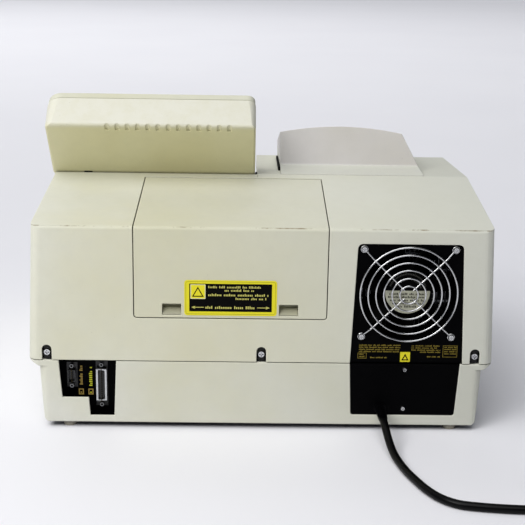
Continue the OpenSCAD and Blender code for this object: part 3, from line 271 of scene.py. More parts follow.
class Finish:
    """A Principled material that is built up from textures in the piece's own space."""

    def __init__(self, name, **sockets):
        self.material = bpy.data.materials.new(name)
        self.material.use_nodes = True
        self.tree = self.material.node_tree
        self.surface = self.tree.nodes["Principled BSDF"]
        self.place = self.tree.nodes.new("ShaderNodeTexCoord").outputs["Object"]
        for socket, value in sockets.items():
            label = socket.replace("_", " ").title().replace("Ior", "IOR")
            self.surface.inputs[label].default_value = value

    def node(self, kind, inputs=(), **settings):
        """A new node; an input is another node's output or a plain value."""
        made = self.tree.nodes.new(kind)
        for setting, value in settings.items():
            setattr(made, setting, value)
        for key, value in dict(inputs).items():
            if isinstance(value, bpy.types.NodeSocket):
                self.tree.links.new(value, made.inputs[key])
            else:
                made.inputs[key].default_value = value
        return made

    def noise(self, scale, detail=3.0, rough=0.55, stretch=(1, 1, 1)):
        """Cloudy texture whose features are about 1/scale metres wide."""
        place = self.node("ShaderNodeMapping", {"Vector": self.place, "Scale": stretch}).outputs["Vector"]
        inputs = {"Vector": place, "Scale": scale, "Detail": detail, "Roughness": rough}
        return self.node("ShaderNodeTexNoise", inputs).outputs["Fac"]

    def cells(self, scale):
        """Round cells about 1/scale metres wide: 0 in the middle of each."""
        return self.node("ShaderNodeTexVoronoi", {"Vector": self.place, "Scale": scale}).outputs["Distance"]

    def fit(self, value, low, high, to_low=0.0, to_high=1.0):
        """The value stretched from one range to another, and held inside it."""
        inputs = {"Value": value, "From Min": low, "From Max": high, "To Min": to_low, "To Max": to_high}
        return self.node("ShaderNodeMapRange", inputs).outputs["Result"]

    def math(self, operation, a, b=0.0):
        return self.node("ShaderNodeMath", {0: a, 1: b}, operation=operation).outputs["Value"]

    def axis(self, name):
        """The place along x, y or z, in metres."""
        split = self.node("ShaderNodeSeparateXYZ", {"Vector": self.place})
        return split.outputs[name.upper()]

    def between(self, name, low, high):
        """1 where the place along an axis is between two values."""
        place = self.axis(name)
        above = self.math("GREATER_THAN", place, low)
        below = self.math("LESS_THAN", place, high)
        return self.math("MULTIPLY", above, below)

    def mix(self, factor, a, b):
        """Colour a where the factor is 0, colour b where it is 1."""
        inputs = {"Factor": factor, "A": a, "B": b}
        made = self.node("ShaderNodeMix", data_type="RGBA")
        usable = [s for s in made.inputs if s.type in ("RGBA", "VALUE") and s.enabled]
        for key, value in inputs.items():
            socket = [s for s in usable if s.name == key][0]
            if isinstance(value, bpy.types.NodeSocket):
                self.tree.links.new(value, socket)
            else:
                socket.default_value = value
        return [s for s in made.outputs if s.enabled][0]

    def edges(self, radius):
        """1 along the edges of the shape, within about that radius."""
        soft = self.node("ShaderNodeBevel", {"Radius": radius}, samples=4).outputs["Normal"]
        true = self.node("ShaderNodeNewGeometry").outputs["Normal"]
        product = self.node("ShaderNodeVectorMath", {0: soft, 1: true}, operation="DOT_PRODUCT")
        return self.fit(product.outputs["Value"], 1.0, 1.0 - 1.0 / 6.0)

    def crevices(self, distance):
        """1 in corners and gaps that ambient occlusion finds, where shade falls and dust gathers."""
        near = self.node("ShaderNodeAmbientOcclusion", {"Distance": distance}, samples=6).outputs["AO"]
        return self.fit(near, 0.75, 0.25)

    def color(self, socket):
        self.tree.links.new(socket, self.surface.inputs["Base Color"])

    def roughness(self, value, low, high):
        self.tree.links.new(self.fit(value, 0.2, 0.8, low, high), self.surface.inputs["Roughness"])

    def metallic(self, socket):
        self.tree.links.new(socket, self.surface.inputs["Metallic"])

    def bump(self, *layers):
        """Each layer is (height, depth in metres)."""
        normal = None
        for height, depth in layers:
            inputs = {"Height": height, "Distance": depth, "Strength": 1.0}
            if normal is not None:
                inputs["Normal"] = normal
            normal = self.node("ShaderNodeBump", inputs).outputs["Normal"]
        self.tree.links.new(normal, self.surface.inputs["Normal"])


PAINTED_SHADE_SPAN = (0.06, -0.27)             # from where to where along x a finish turns into its colour with painted shade


def moulded_plastic(name, shade, aged, gap_grime_and_shade=0.5, painted_shade=None, levels_free_of_black_shade=None, plain=None, rim=None):
    """Textured instrument plastic, yellowed in patches, paler on its edges, and darker in its gaps, partly
    with grime and partly with painted shade.

    Towards the fan's side it turns into the colour given for that side, which is darker with painted shade
    and less yellowed. Outside two levels that it may be given, it turns near-black: painted shade. plain is
    (axis, from, to, colour): between those places the finish turns into another colour. rim is the height
    of an edge that knocks and fingers have stained in places."""
    f = Finish(name, specular_ior_level=0.3)
    patches = f.fit(f.noise(5.0, 4.0), 0.38, 0.68)
    tone = f.mix(patches, linear(*shade), linear(*aged))
    if painted_shade is not None:
        # Partly painted shade and partly a less yellowed tone: towards the fan's side the colour turns
        # darker and more neutral, where the light falls off.
        tone = f.mix(f.fit(f.axis("x"), *PAINTED_SHADE_SPAN), tone, linear(*painted_shade))
    if plain is not None:
        axis, start, end, other = plain
        tone = f.mix(f.fit(f.axis(axis), start, end), tone, linear(*other))
    clouds = f.fit(f.noise(60.0, 5.0, 0.7), 0.42, 0.75, 0.0, 0.25)
    mottled = f.mix(clouds, tone, toned(shade, 0.93))
    specks = f.fit(f.noise(420.0, 2.0, 0.5), 0.72, 0.80, 0.0, 0.35)
    specked = f.mix(specks, mottled, toned(aged, 0.72))
    worn = f.math("MULTIPLY", f.edges(1.6 * MM), 0.45)
    pale = f.mix(worn, specked, toned(shade, 1.08, most=250))
    # Darker in gaps and corners that ambient occlusion finds: partly grime, partly painted shade.
    dirt_and_painted_shade = f.math("MULTIPLY", f.crevices(4 * MM), gap_grime_and_shade)
    grime_and_painted_shade = f.mix(dirt_and_painted_shade, pale, toned(aged, 0.42))
    if rim is not None:
        line = f.between("z", rim - 0.9 * MM, rim + 0.2 * MM)
        stain = f.fit(f.noise(17.0, 7.0, 0.8), 0.50, 0.62, 0.0, 0.8)
        grime_and_painted_shade = f.mix(f.math("MULTIPLY", line, stain), grime_and_painted_shade, linear(120, 104, 72))
    # Painted shade: outside the two levels the plastic turns near-black, for surfaces that sit in shade,
    # such as the base's underside and its parts above the seam.
    if levels_free_of_black_shade is not None:
        grime_and_painted_shade = f.mix(f.between("z", *levels_free_of_black_shade), linear(18, 18, 17), grime_and_painted_shade)
    f.color(grime_and_painted_shade)
    f.roughness(f.noise(14.0, 6.0, 0.65), 0.42, 0.58)
    scuffs = f.noise(90.0, 8.0, 0.75, (1, 1, 0.25))
    f.bump((f.noise(1500.0, 2.0, 0.6), 0.03 * MM), (scuffs, 0.05 * MM))
    return f.material


def painted_metal(name, shade, dust=0.25, rough=(0.36, 0.52)):
    """Powder-coated sheet with a fine orange peel and a little dust."""
    f = Finish(name, specular_ior_level=0.03)
    dusty = f.fit(f.noise(35.0, 5.0, 0.7), 0.45, 0.8, 0.0, dust)
    tone = f.mix(dusty, linear(*shade), toned(shade, 1.5, 5))
    worn = f.math("MULTIPLY", f.edges(0.7 * MM), 0.4)
    f.color(f.mix(worn, tone, toned(shade, 1.8, 20)))
    f.roughness(f.noise(30.0, 6.0), *rough)
    f.bump((f.noise(900.0, 2.0), 0.02 * MM), (f.noise(110.0, 2.0), 0.02 * MM))
    return f.material


def dark_plastic(name, shade, rough=(0.38, 0.55), specular=0.1):
    """Moulded black or dark plastic with fine texture and dulled patches."""
    f = Finish(name, specular_ior_level=specular)
    dulled = f.fit(f.noise(50.0, 6.0, 0.7), 0.4, 0.75)
    tone = f.mix(dulled, linear(*shade), toned(shade, 1.2, 2))
    worn = f.math("MULTIPLY", f.edges(0.6 * MM), 0.4)
    f.color(f.mix(worn, tone, toned(shade, 1.5, 14)))
    f.roughness(f.noise(24.0, 5.0), *rough)
    f.bump((f.noise(1700.0, 2.0, 0.6), 0.02 * MM))
    return f.material


def bare_metal(name, shade, rough=(0.18, 0.34), grain=(1, 1, 1), tarnish=0.3):
    """Plated or rolled metal with fine drawn lines and dull patches."""
    f = Finish(name, metallic=1.0)
    dull = f.fit(f.noise(120.0, 6.0, 0.7), 0.45, 0.8, 0.0, tarnish)
    f.color(f.mix(dull, linear(*shade), toned(shade, 0.62)))
    lines = f.noise(700.0, 3.0, 0.6, grain)
    f.roughness(f.noise(260.0, 5.0, 0.7, grain), *rough)
    f.bump((lines, 0.008 * MM))
    return f.material


def screw_metal(name, shade):
    """Nickel-plated screw heads, with painted shade that makes them near-black in the recess and round the
    rim.
    """
    f = Finish(name, metallic=1.0)
    patches = f.fit(f.noise(500.0, 5.0, 0.7), 0.45, 0.8, 0.0, 0.35)
    dull = f.mix(patches, linear(*shade), toned(shade, 0.6))
    # Painted shade: near-black where ambient occlusion finds the recess and the rim.
    f.color(f.mix(f.crevices(2.2 * MM), dull, linear(8, 8, 8)))
    f.roughness(f.noise(420.0, 5.0, 0.7), 0.10, 0.24)
    f.bump((f.noise(1500.0, 3.0), 0.006 * MM))
    return f.material


def rubber(name, shade, rough=(0.5, 0.68), dust=0.3):
    """Matt rubber or flexible vinyl with a bloom of dust."""
    f = Finish(name, specular_ior_level=0.12)
    bloom = f.fit(f.noise(45.0, 6.0, 0.7), 0.5, 0.85, 0.0, dust)
    f.color(f.mix(bloom, linear(*shade), toned(shade, 1.4, 20)))
    f.roughness(f.noise(60.0, 5.0), *rough)
    f.bump((f.noise(1100.0, 3.0), 0.03 * MM))
    return f.material


def printed_ink(name, shade, worn, rough=(0.35, 0.5)):
    """Screen-printed film: even, a little glossy, with small worn specks."""
    f = Finish(name, specular_ior_level=0.06)
    specks = f.fit(f.noise(900.0, 4.0, 0.7), 0.6, 0.8, 0.0, 0.5)
    f.color(f.mix(specks, linear(*shade), linear(*worn)))
    f.roughness(f.noise(150.0, 4.0), *rough)
    f.bump((f.noise(600.0, 3.0), 0.008 * MM))
    return f.material


def foam(name, shade, pore=900.0):
    """Open foam: matt, with pores."""
    f = Finish(name, specular_ior_level=0.1)
    pores = f.cells(pore)
    # Painted shade: each pore is darker towards its middle, where it is deepest.
    f.color(f.mix(f.fit(pores, 0.1, 0.6), toned(shade, 0.62), linear(*shade)))
    f.roughness(f.noise(200.0, 3.0), 0.85, 0.96)
    f.bump((pores, 0.35 * MM))
    return f.material


def silicone(name, shade):
    """Soft pressed silicone with a satin skin and faint dust."""
    f = Finish(name, specular_ior_level=0.4, subsurface_weight=0.15, subsurface_scale=0.004)
    bloom = f.fit(f.noise(70.0, 6.0, 0.7), 0.5, 0.85, 0.0, 0.3)
    f.color(f.mix(bloom, linear(*shade), toned(shade, 1.2, 20, 250)))
    f.roughness(f.noise(90.0, 5.0), 0.45, 0.62)
    f.bump((f.noise(1300.0, 2.0), 0.02 * MM))
    return f.material


def tinted_window(name, shade):
    """Smoked acrylic over the display, with hairline scratches."""
    f = Finish(name, transmission_weight=0.85, ior=1.49)
    f.color(f.mix(f.noise(30.0, 3.0), linear(*shade), toned(shade, 0.8)))
    f.roughness(f.noise(80.0, 8.0, 0.8, (1, 6, 1)), 0.03, 0.12)
    f.bump((f.noise(400.0, 4.0, 0.7, (1, 8, 1)), 0.004 * MM))
    return f.material


def circuit_board(name, level, thickness):
    """Green solder mask with traces below, dark parts above and plated spacers under the board."""
    f = Finish(name, specular_ior_level=0.5)
    traces = f.node("ShaderNodeTexBrick", {"Vector": f.place, "Scale": 60.0, "Mortar Size": 0.012})
    mask = f.mix(traces.outputs["Fac"], linear(22, 92, 50), linear(58, 132, 74))
    above = f.math("GREATER_THAN", f.axis("z"), level + thickness + 0.2 * MM)
    parts = f.mix(f.noise(300.0, 3.0), linear(26, 26, 28), linear(44, 44, 46))
    lower = f.math("LESS_THAN", f.axis("z"), level - 0.1 * MM)
    mixed = f.mix(above, mask, parts)
    f.color(f.mix(lower, mixed, linear(178, 178, 180)))
    f.roughness(f.noise(60.0, 4.0), 0.3, 0.5)
    f.metallic(lower)
    f.bump((traces.outputs["Fac"], 0.03 * MM), (f.noise(900.0, 2.0), 0.01 * MM))
    return f.material


def milky_plastic(name, shade):
    """Blow-moulded translucent tank plastic."""
    f = Finish(name, specular_ior_level=0.4, subsurface_weight=0.35, subsurface_scale=0.01)
    f.color(f.mix(f.noise(16.0, 4.0), linear(*shade), toned(shade, 0.9)))
    f.roughness(f.noise(40.0, 4.0), 0.32, 0.5)
    f.bump((f.noise(240.0, 3.0), 0.06 * MM))
    return f.material


def plated_connector(name, node, plate, pin):
    """Plated shell, bright along its sides, with its metal flange ends darkened as a painted dark
    reflection, and pins on a black insulator.
    """
    low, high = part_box(node)
    centre = (low + high) / 2
    ends = 8.5 * MM
    f = Finish(name)
    insulator = f.math("LESS_THAN", f.axis("y"), low.y + 2.4 * MM)
    sides = f.between("z", low.z + ends, high.z - ends)
    middle_row = f.between("x", centre.x - 0.6 * MM, centre.x + 0.6 * MM)
    pins = f.math("MULTIPLY", middle_row, f.math("GREATER_THAN", f.axis("y"), low.y + 2.3 * MM))
    worn = f.mix(f.noise(240.0, 5.0, 0.7), linear(*plate), toned(plate, 0.7))
    # Painted reflection: the flange ends take the plate darkened to a third, for the dark that they
    # reflect.
    shell = f.mix(sides, toned(plate, 0.3), worn)
    f.color(f.mix(pins, f.mix(insulator, shell, linear(8, 8, 9)), linear(*pin)))
    f.metallic(f.math("SUBTRACT", 1.0, insulator))
    f.roughness(f.noise(180.0, 4.0), 0.25, 0.42)
    f.bump((f.noise(800.0, 2.0), 0.01 * MM))
    return f.material


CREAM = (213, 213, 198)
CREAM_AGED = (207, 205, 179)
# The cover's colour towards the fan's side: darker with painted shade, and less yellowed.
CREAM_PAINTED_SHADE = (205, 206, 195)
BLACK = (2, 2, 3)
REAR_EDGE_Z = 244.5 * MM                # the edge between the rear face and the roof

seam_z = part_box("top_cover")[0].z
lid_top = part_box("lid_shell")[1].z
hood_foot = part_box("hood_seal")[1].z + 2 * MM
# The cover and the door turn darker and less yellowed towards the fan's side: partly painted shade.
cover_plastic = moulded_plastic("cover_plastic", CREAM, CREAM_AGED, painted_shade=CREAM_PAINTED_SHADE, rim=REAR_EDGE_Z)
door_plastic = moulded_plastic("door_plastic", (208, 207, 188), (203, 201, 173), painted_shade=CREAM_PAINTED_SHADE,
                               rim=REAR_EDGE_Z)
# The latches' darker plastic is partly their own tone and partly painted shade of the slots they sit in;
# their gaps are darkened more.
latch_plastic = moulded_plastic("latch_plastic", (172, 172, 152), (160, 158, 134), 0.8)
# The base turns darker and less yellowed towards the fan's side with painted shade, and near-black on its
# underside and above the seam as painted shade.
base_plastic = moulded_plastic("base_plastic", (213, 213, 202), (205, 204, 181), 0.6, (199, 200, 188),
                               (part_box("base_tray")[0].z + 0.4 * MM, seam_z + 0.1 * MM))
# The open lid's face, which looks down, is yellower and darker than the band at its top: partly aged
# plastic, partly painted shade and warm bounce light on that face.
lid_plastic = moulded_plastic("lid_plastic", (212, 208, 168), (205, 199, 152),
                              plain=("z", lid_top - 34 * MM, lid_top - 26 * MM, (218, 217, 203)))
liner_plastic = moulded_plastic("liner_plastic", (208, 208, 190), (202, 200, 172))
# Below its foot the hood's fairing takes the cover's colour with painted shade.
hood_plastic = moulded_plastic("hood_plastic", (211, 208, 206), (201, 197, 188), 0.25,
                               plain=("z", hood_foot + 1 * MM, hood_foot - 1 * MM, CREAM_PAINTED_SHADE))
black_paint = painted_metal("black_paint", BLACK)
black_plastic = dark_plastic("black_plastic", (3, 3, 4))
fan_plastic = dark_plastic("fan_plastic", (2, 2, 2), (0.5, 0.7), 0.03)
bright_wire = bare_metal("bright_wire", (204, 205, 206), (0.08, 0.18))
screw_steel = screw_metal("screw_steel", (214, 215, 216))
sheet_steel = bare_metal("sheet_steel", (182, 185, 188), (0.32, 0.5), (1, 0.08, 1))
block_aluminium = bare_metal("block_aluminium", (206, 208, 211), (0.26, 0.42), (0.1, 1, 1))
condenser_metal = bare_metal("condenser_metal", (190, 192, 196), (0.3, 0.5), (1, 1, 0.1))
heater_foil = bare_metal("heater_foil", (204, 132, 60), (0.25, 0.45))
sensor_brass = bare_metal("sensor_brass", (214, 178, 92), (0.25, 0.42))
blade_brass = bare_metal("blade_brass", (212, 186, 120), (0.2, 0.36), (1, 0.15, 1))
foot_rubber = rubber("foot_rubber", (138, 134, 122), (0.55, 0.7), 0.2)
lead_rubber = rubber("lead_rubber", (2, 2, 3), (0.26, 0.38), 0.02)
hose_rubber = rubber("hose_rubber", (48, 48, 50))
black_foam = foam("black_foam", (20, 20, 21))
insulation_foam = foam("insulation_foam", (226, 219, 190), 400.0)
pad_silicone = silicone("pad_silicone", (150, 66, 50))
window_tint = tinted_window("window_tint", (96, 116, 106))
lcd_green = dark_plastic("lcd_green", (66, 92, 62), (0.2, 0.35))
membrane = dark_plastic("membrane", (78, 94, 108), (0.32, 0.46))
cap_plastic = dark_plastic("cap_plastic", (44, 92, 150))
pump_plastic = dark_plastic("pump_plastic", (52, 56, 60))
compressor_paint = painted_metal("compressor_paint", (22, 22, 24), 0.35, (0.22, 0.4))
tank_plastic = milky_plastic("tank_plastic", (224, 226, 218))
keypad_low, keypad_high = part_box("keypad_board")
keypad_green = circuit_board("keypad_green", keypad_low.z, keypad_high.z - keypad_low.z)
board_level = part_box("main_board")[0].z + 10.4 * MM
board_green = circuit_board("board_green", board_level, 1.6 * MM)
serial_metal = plated_connector("serial_metal", "serial_connector", (96, 97, 98), (70, 62, 40))
parallel_metal = plated_connector("parallel_metal", "parallel_connector", (236, 238, 240), (52, 46, 34))
dark_screw_steel = screw_metal("dark_screw_steel", (112, 113, 114))


# -------------------------------------------------------- CAD nodes' looks

def dress(material, *names):
    """Gives CAD nodes their finish."""
    for name in names:
        data = nodes[name].data
        data.materials.clear()
        data.materials.append(material)


def soften(width, segments, *names, angle=32):
    """Rounds the hard edges of CAD nodes with modifiers, which leave the mesh as it is."""
    for name in names:
        weld = nodes[name].modifiers.new("weld", "WELD")
        weld.merge_threshold = 0.01 * MM
        flat = nodes[name].modifiers.new("flat", "DECIMATE")
        flat.decimate_type = "DISSOLVE"
        flat.angle_limit = math.radians(0.4)
        edge = nodes[name].modifiers.new("edge", "BEVEL")
        edge.width = width
        edge.segments = segments
        edge.limit_method = "ANGLE"
        edge.angle_limit = math.radians(angle)
        edge.harden_normals = True
        edge.use_clamp_overlap = False


dress(cover_plastic, "top_cover")
dress(door_plastic, "access_door")
dress(latch_plastic, "door_latch_left", "door_latch_right")
dress(base_plastic, "base_tray")
dress(hood_plastic, "display_hood")
dress(lid_plastic, "lid_shell")
dress(liner_plastic, "lid_liner")
dress(black_paint, "rear_panel", "inlet_cover", "port_tray")
dress(black_plastic, "lid_hinge_brackets", "bay_surround", "power_switch_bezel", "power_rocker")
dress(fan_plastic, "fan_frame", "fan_rotor")
dress(bright_wire, "fan_guard")
dress(screw_steel, "cover_screws", "panel_screws", "guard_screws", "lid_hinge_rod")
dress(dark_screw_steel, "connector_screws")
dress(sheet_steel, "chassis_plate", "power_supply")
dress(block_aluminium, "sample_block", "cold_plate")
dress(condenser_metal, "condenser")
dress(heater_foil, "block_heater")
dress(sensor_brass, "block_sensor")
dress(blade_brass, "plug_blades")
dress(foot_rubber, "rubber_feet", "compressor_mounts")
dress(lead_rubber, "strain_relief", "plug_body")
dress(hose_rubber, "coolant_hose_feed", "coolant_hose_return")
dress(insulation_foam, "lid_insulation", "block_insulation")
dress(window_tint, "display_window")
dress(lcd_green, "lcd_module")
dress(membrane, "keypad_overlay")
dress(keypad_green, "keypad_board")
dress(board_green, "main_board")
dress(cap_plastic, "tank_cap")
dress(pump_plastic, "coolant_pump")
dress(compressor_paint, "compressor")
dress(tank_plastic, "coolant_tank")
dress(serial_metal, "serial_connector")
dress(parallel_metal, "parallel_connector")

soften(0.8 * MM, 3, "top_cover", "access_door", "base_tray", "display_hood", "lid_liner")
soften(0.4 * MM, 2, "lid_shell")
lead.data.materials.append(lead_rubber)


# ---------------------------------------------------------- printed labels

SUNK = -0.1                             # a print reaches this far into what it is on, in millimetres


def finish_piece(piece, slot, *replaced):
    """Takes a piece's material slot, which is not used, and hides the CAD nodes that the piece stands for.
    """
    if replaced:
        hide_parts(*replaced)
    return piece


def print_arrow(bm, plane, side, ink):
    """A thin arrow below the lines of the door's label, which points to that side."""
    shaft = [(30.6, -11.7), (41.5, -11.7), (41.5, -10.9), (30.6, -10.9)]
    head = [(40.8, -13.0), (45.2, -11.3), (40.8, -9.6)]
    for outline in (shaft, head):
        slab(bm, plane, [(side * u, v) for u, v in outline], 0.34, 0.40, ink)


def make_door_label():
    """Yellow-bordered black label with a plain triangle, lines of strokes and two arrows."""
    low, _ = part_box("door_label")
    at = middle("door_label")
    plane = rear_plane(at.x, low.y, at.z)
    rng = random.Random(11)
    yellow, olive, black, cream, pale = range(5)
    bm = bmesh.new()
    slab(bm, plane, rounded(-53.2, -21.1, 53.2, 21.1, 3.5), SUNK, 0.30, yellow)
    outer, inner = rounded(-51.7, -19.6, 51.7, 19.6, 2.6), rounded(-51.2, -19.1, 51.2, 19.1, 2.1)
    frame_slab(bm, plane, outer, inner, 0.28, 0.33, olive)
    slab(bm, plane, rounded(-47.5, -16.3, 47.5, 17.0, 0.6), 0.28, 0.36, black)
    slab(bm, plane, rounded(-46.2, -1.2, -28.9, 16.1, 0.5), 0.34, 0.39, cream)
    slab(bm, plane, rounded(-45.4, -0.4, -29.7, 15.3, 0.4), 0.37, 0.42, yellow)
    triangle = [(-44.4, 1.3), (-30.8, 1.3), (-37.6, 13.4)]
    frame_slab(bm, plane, triangle, shrunk(triangle, 0.70), 0.40, 0.45, black)
    rows = [                            # from, to, foot and height of each line of strokes
        (-25.7, 35.7, 11.8, 2.6), (-6.9, 27.0, 7.9, 2.6), (-25.7, 43.5, 2.3, 2.9), (5.7, 42.0, -1.9, 2.6),
        (-28.9, 28.6, -12.9, 3.2),
    ]
    for u0, u1, v, height in rows:
        print_line(bm, plane, rng, u0, u1, v, height, 0.34, 0.40, pale)
    for side in (-1, 1):
        print_arrow(bm, plane, side, pale)
    inks = [label_yellow, label_olive, label_black, label_cream, label_pale]
    finish_piece(add_piece("door_print", bm, inks, "door"), "label_print", "door_label")


def make_rating_print():
    """Two blocks of small gold strokes on the black panel, each with a boxed corner."""
    stroke_h, rule_w = 1.6, 0.4
    low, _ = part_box("rating_plates")
    at = middle("rating_plates")
    plane = rear_plane(at.x, low.y, at.z)
    rng = random.Random(23)
    bm = bmesh.new()
    rows = [(-55.0, -6.8, v) for v in (5.6, 3.0, 0.4, -2.2)]
    rows += [(-41.6, -22.0, -9.6)]
    rows += [(6.4, u1, v) for u1, v in ((39.5, 5.4), (36.0, 2.8), (41.0, 0.2))]
    rows += [(16.5, 41.0, -2.4), (25.0, 41.0, -8.0)]
    rows += [(45.0, 59.0, v) for v in (4.0, 1.3, -1.4, -4.1)]
    rows += [(-54.5, -47.5, v) for v in (-5.6, -8.6)]
    for u0, u1, v in rows:
        print_line(bm, plane, rng, u0, u1, v, stroke_h, SUNK, 0.12, 0)
    for u0, v0, u1, v1 in ((-56.2, -10.2, -46.0, -3.2), (43.2, -7.6, 60.1, 6.8)):
        inside = rounded(u0 + rule_w, v0 + rule_w, u1 - rule_w, v1 - rule_w)
        frame_slab(bm, plane, rounded(u0, v0, u1, v1), inside, SUNK, 0.12)
    finish_piece(add_piece("rating_print", bm, [label_gold], "housing"), "label_print", "rating_plates")


def make_panel_sticker():
    """Small yellow square with a plain triangle."""
    low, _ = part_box("hazard_sticker")
    at = middle("hazard_sticker")
    plane = rear_plane(at.x, low.y, at.z)
    bm = bmesh.new()
    slab(bm, plane, rounded(-5.8, -6.0, 5.8, 6.2, 0.7), SUNK, 0.22, 0)
    triangle = [(-4.3, -4.2), (4.3, -4.2), (0, 4.1)]
    frame_slab(bm, plane, triangle, shrunk(triangle, 0.5), 0.2, 0.27, 1)
    finish_piece(add_piece("panel_sticker", bm, [label_yellow, label_black], "housing"),
                 "sticker_yellow", "hazard_sticker")


def make_port_print():
    """Beside each connector, a line of strokes that reads upwards, and a plain box below it."""
    low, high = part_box("port_labels")
    rng = random.Random(37)
    bm = bmesh.new()
    for x, ink, start in ((low.x + 3 * MM, 0, 12.0), (high.x - 3 * MM, 1, 13.5)):
        plane = upright_plane(x, low.y, low.z)
        print_line(bm, plane, rng, start, 38.0, -1.9, 3.6, SUNK, 0.2, ink)
        frame_slab(bm, plane, rounded(1.0, -3.0, 8.4, 3.0), rounded(2.2, -1.8, 7.2, 1.8), SUNK, 0.2, 1)
        slab(bm, plane, rounded(2.9, -0.9, 4.6, 0.9), SUNK, 0.2, ink)
    piece = add_piece("port_print", bm, [label_green, label_tan], "housing")
    finish_piece(piece, "label_print", "port_labels")


def make_hub_label():
    """Round label on the fan's hub: a silver part below a straight edge, with strokes in rings above it."""
    at = middle("fan_frame")
    plane = rear_plane(at.x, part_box("fan_rotor")[1].y, at.z)
    radius, chord = 26.0, 1.5
    start = math.degrees(math.asin(chord / radius))
    rng = random.Random(41)
    bm = bmesh.new()
    arc = [math.radians(180 - start + (180 + 2 * start) * i / 36) for i in range(37)]
    slab(bm, plane, [(radius * math.cos(a), radius * math.sin(a)) for a in arc], SUNK, 0.15, 0)
    for v, half in ((-3.6, 21.0), (-7.4, 22.5), (-11.2, 20.0), (-15.0, 17.0), (-18.8, 12.0)):
        print_line(bm, plane, rng, -half, half, v, 2.6, 0.1, 0.22, 1)
    for r, height, step in ((15.0, 2.0, 7), (20.5, 2.0, 5)):
        for degrees in range(20, 161, step):
            a = math.radians(degrees)
            across = Vector((math.cos(a), math.sin(a)))
            along = Vector((-math.sin(a), math.cos(a))) * 0.45
            near, far = across * r, across * (r + height)
            corners = [near - along, far - along, far + along, near + along]
            slab(bm, plane, [tuple(c) for c in corners], SUNK, 0.15, 2)
    inks = [hub_foil, label_black, label_grey]
    finish_piece(add_piece("hub_label", bm, inks, "fan"), "label_print")


def make_keypad_print():
    """A plain mark on every key: rings on the number block, bars on the function block."""
    top, slope = Vector((-0.102, -0.133, 0.26287)), math.radians(54.59)
    rows, columns, number_columns = 4, 7, 3
    first_u, first_v, pitch_u, pitch_v, block_gap = -73, -70, 20, 22, 12
    foot, face = 1.15, 1.3              # heights above the slope of the front
    plane = Matrix.Translation(top) @ Matrix.Rotation(slope, 4, "X") @ Matrix.Scale(MM, 4)
    bm = bmesh.new()
    for row in range(rows):
        for column in range(columns):
            is_function = column >= number_columns
            u = first_u + column * pitch_u + (block_gap if is_function else 0)
            v = first_v - row * pitch_v
            if is_function:
                slab(bm, plane, rounded(u - 4.2, v - 0.6, u + 4.2, v + 0.6, 0.3), foot, face)
                slab(bm, plane, rounded(u - 2.4, v + 1.7, u + 2.4, v + 2.7, 0.3), foot, face)
            else:
                ring = rounded(u - 2.6, v - 2.6, u + 2.6, v + 2.6, 2.59)
                frame_slab(bm, plane, ring, shrunk(ring, 0.66), foot, face)
    finish_piece(add_piece("keypad_print", bm, [label_cream], "housing"), "label_print")


label_yellow = printed_ink("label_yellow", (224, 214, 48), (196, 186, 60))
label_olive = printed_ink("label_olive", (150, 146, 50), (128, 124, 50))
label_black = printed_ink("label_black", (3, 3, 3), (18, 18, 14))
label_cream = printed_ink("label_cream", (226, 224, 176), (196, 190, 140))
label_pale = printed_ink("label_pale", (196, 192, 104), (150, 146, 84))
label_gold = printed_ink("label_gold", (138, 122, 52), (92, 82, 38))
label_green = printed_ink("label_green", (196, 198, 56), (150, 150, 56))
label_tan = printed_ink("label_tan", (166, 142, 78), (120, 104, 62))
label_grey = printed_ink("label_grey", (72, 72, 68), (48, 48, 46))
hub_foil = bare_metal("hub_foil", (206, 206, 184), (0.38, 0.6), (1, 1, 1), 0.7)

make_door_label()
make_rating_print()
make_panel_sticker()
make_port_print()
make_hub_label()
make_keypad_print()


# --------------------------------------------------------- soft pieces, tie

LID_AXIS = (0, 0.0565, 0.269)
LID_OPEN = -128                         # degrees about x from level to the open lid at rest


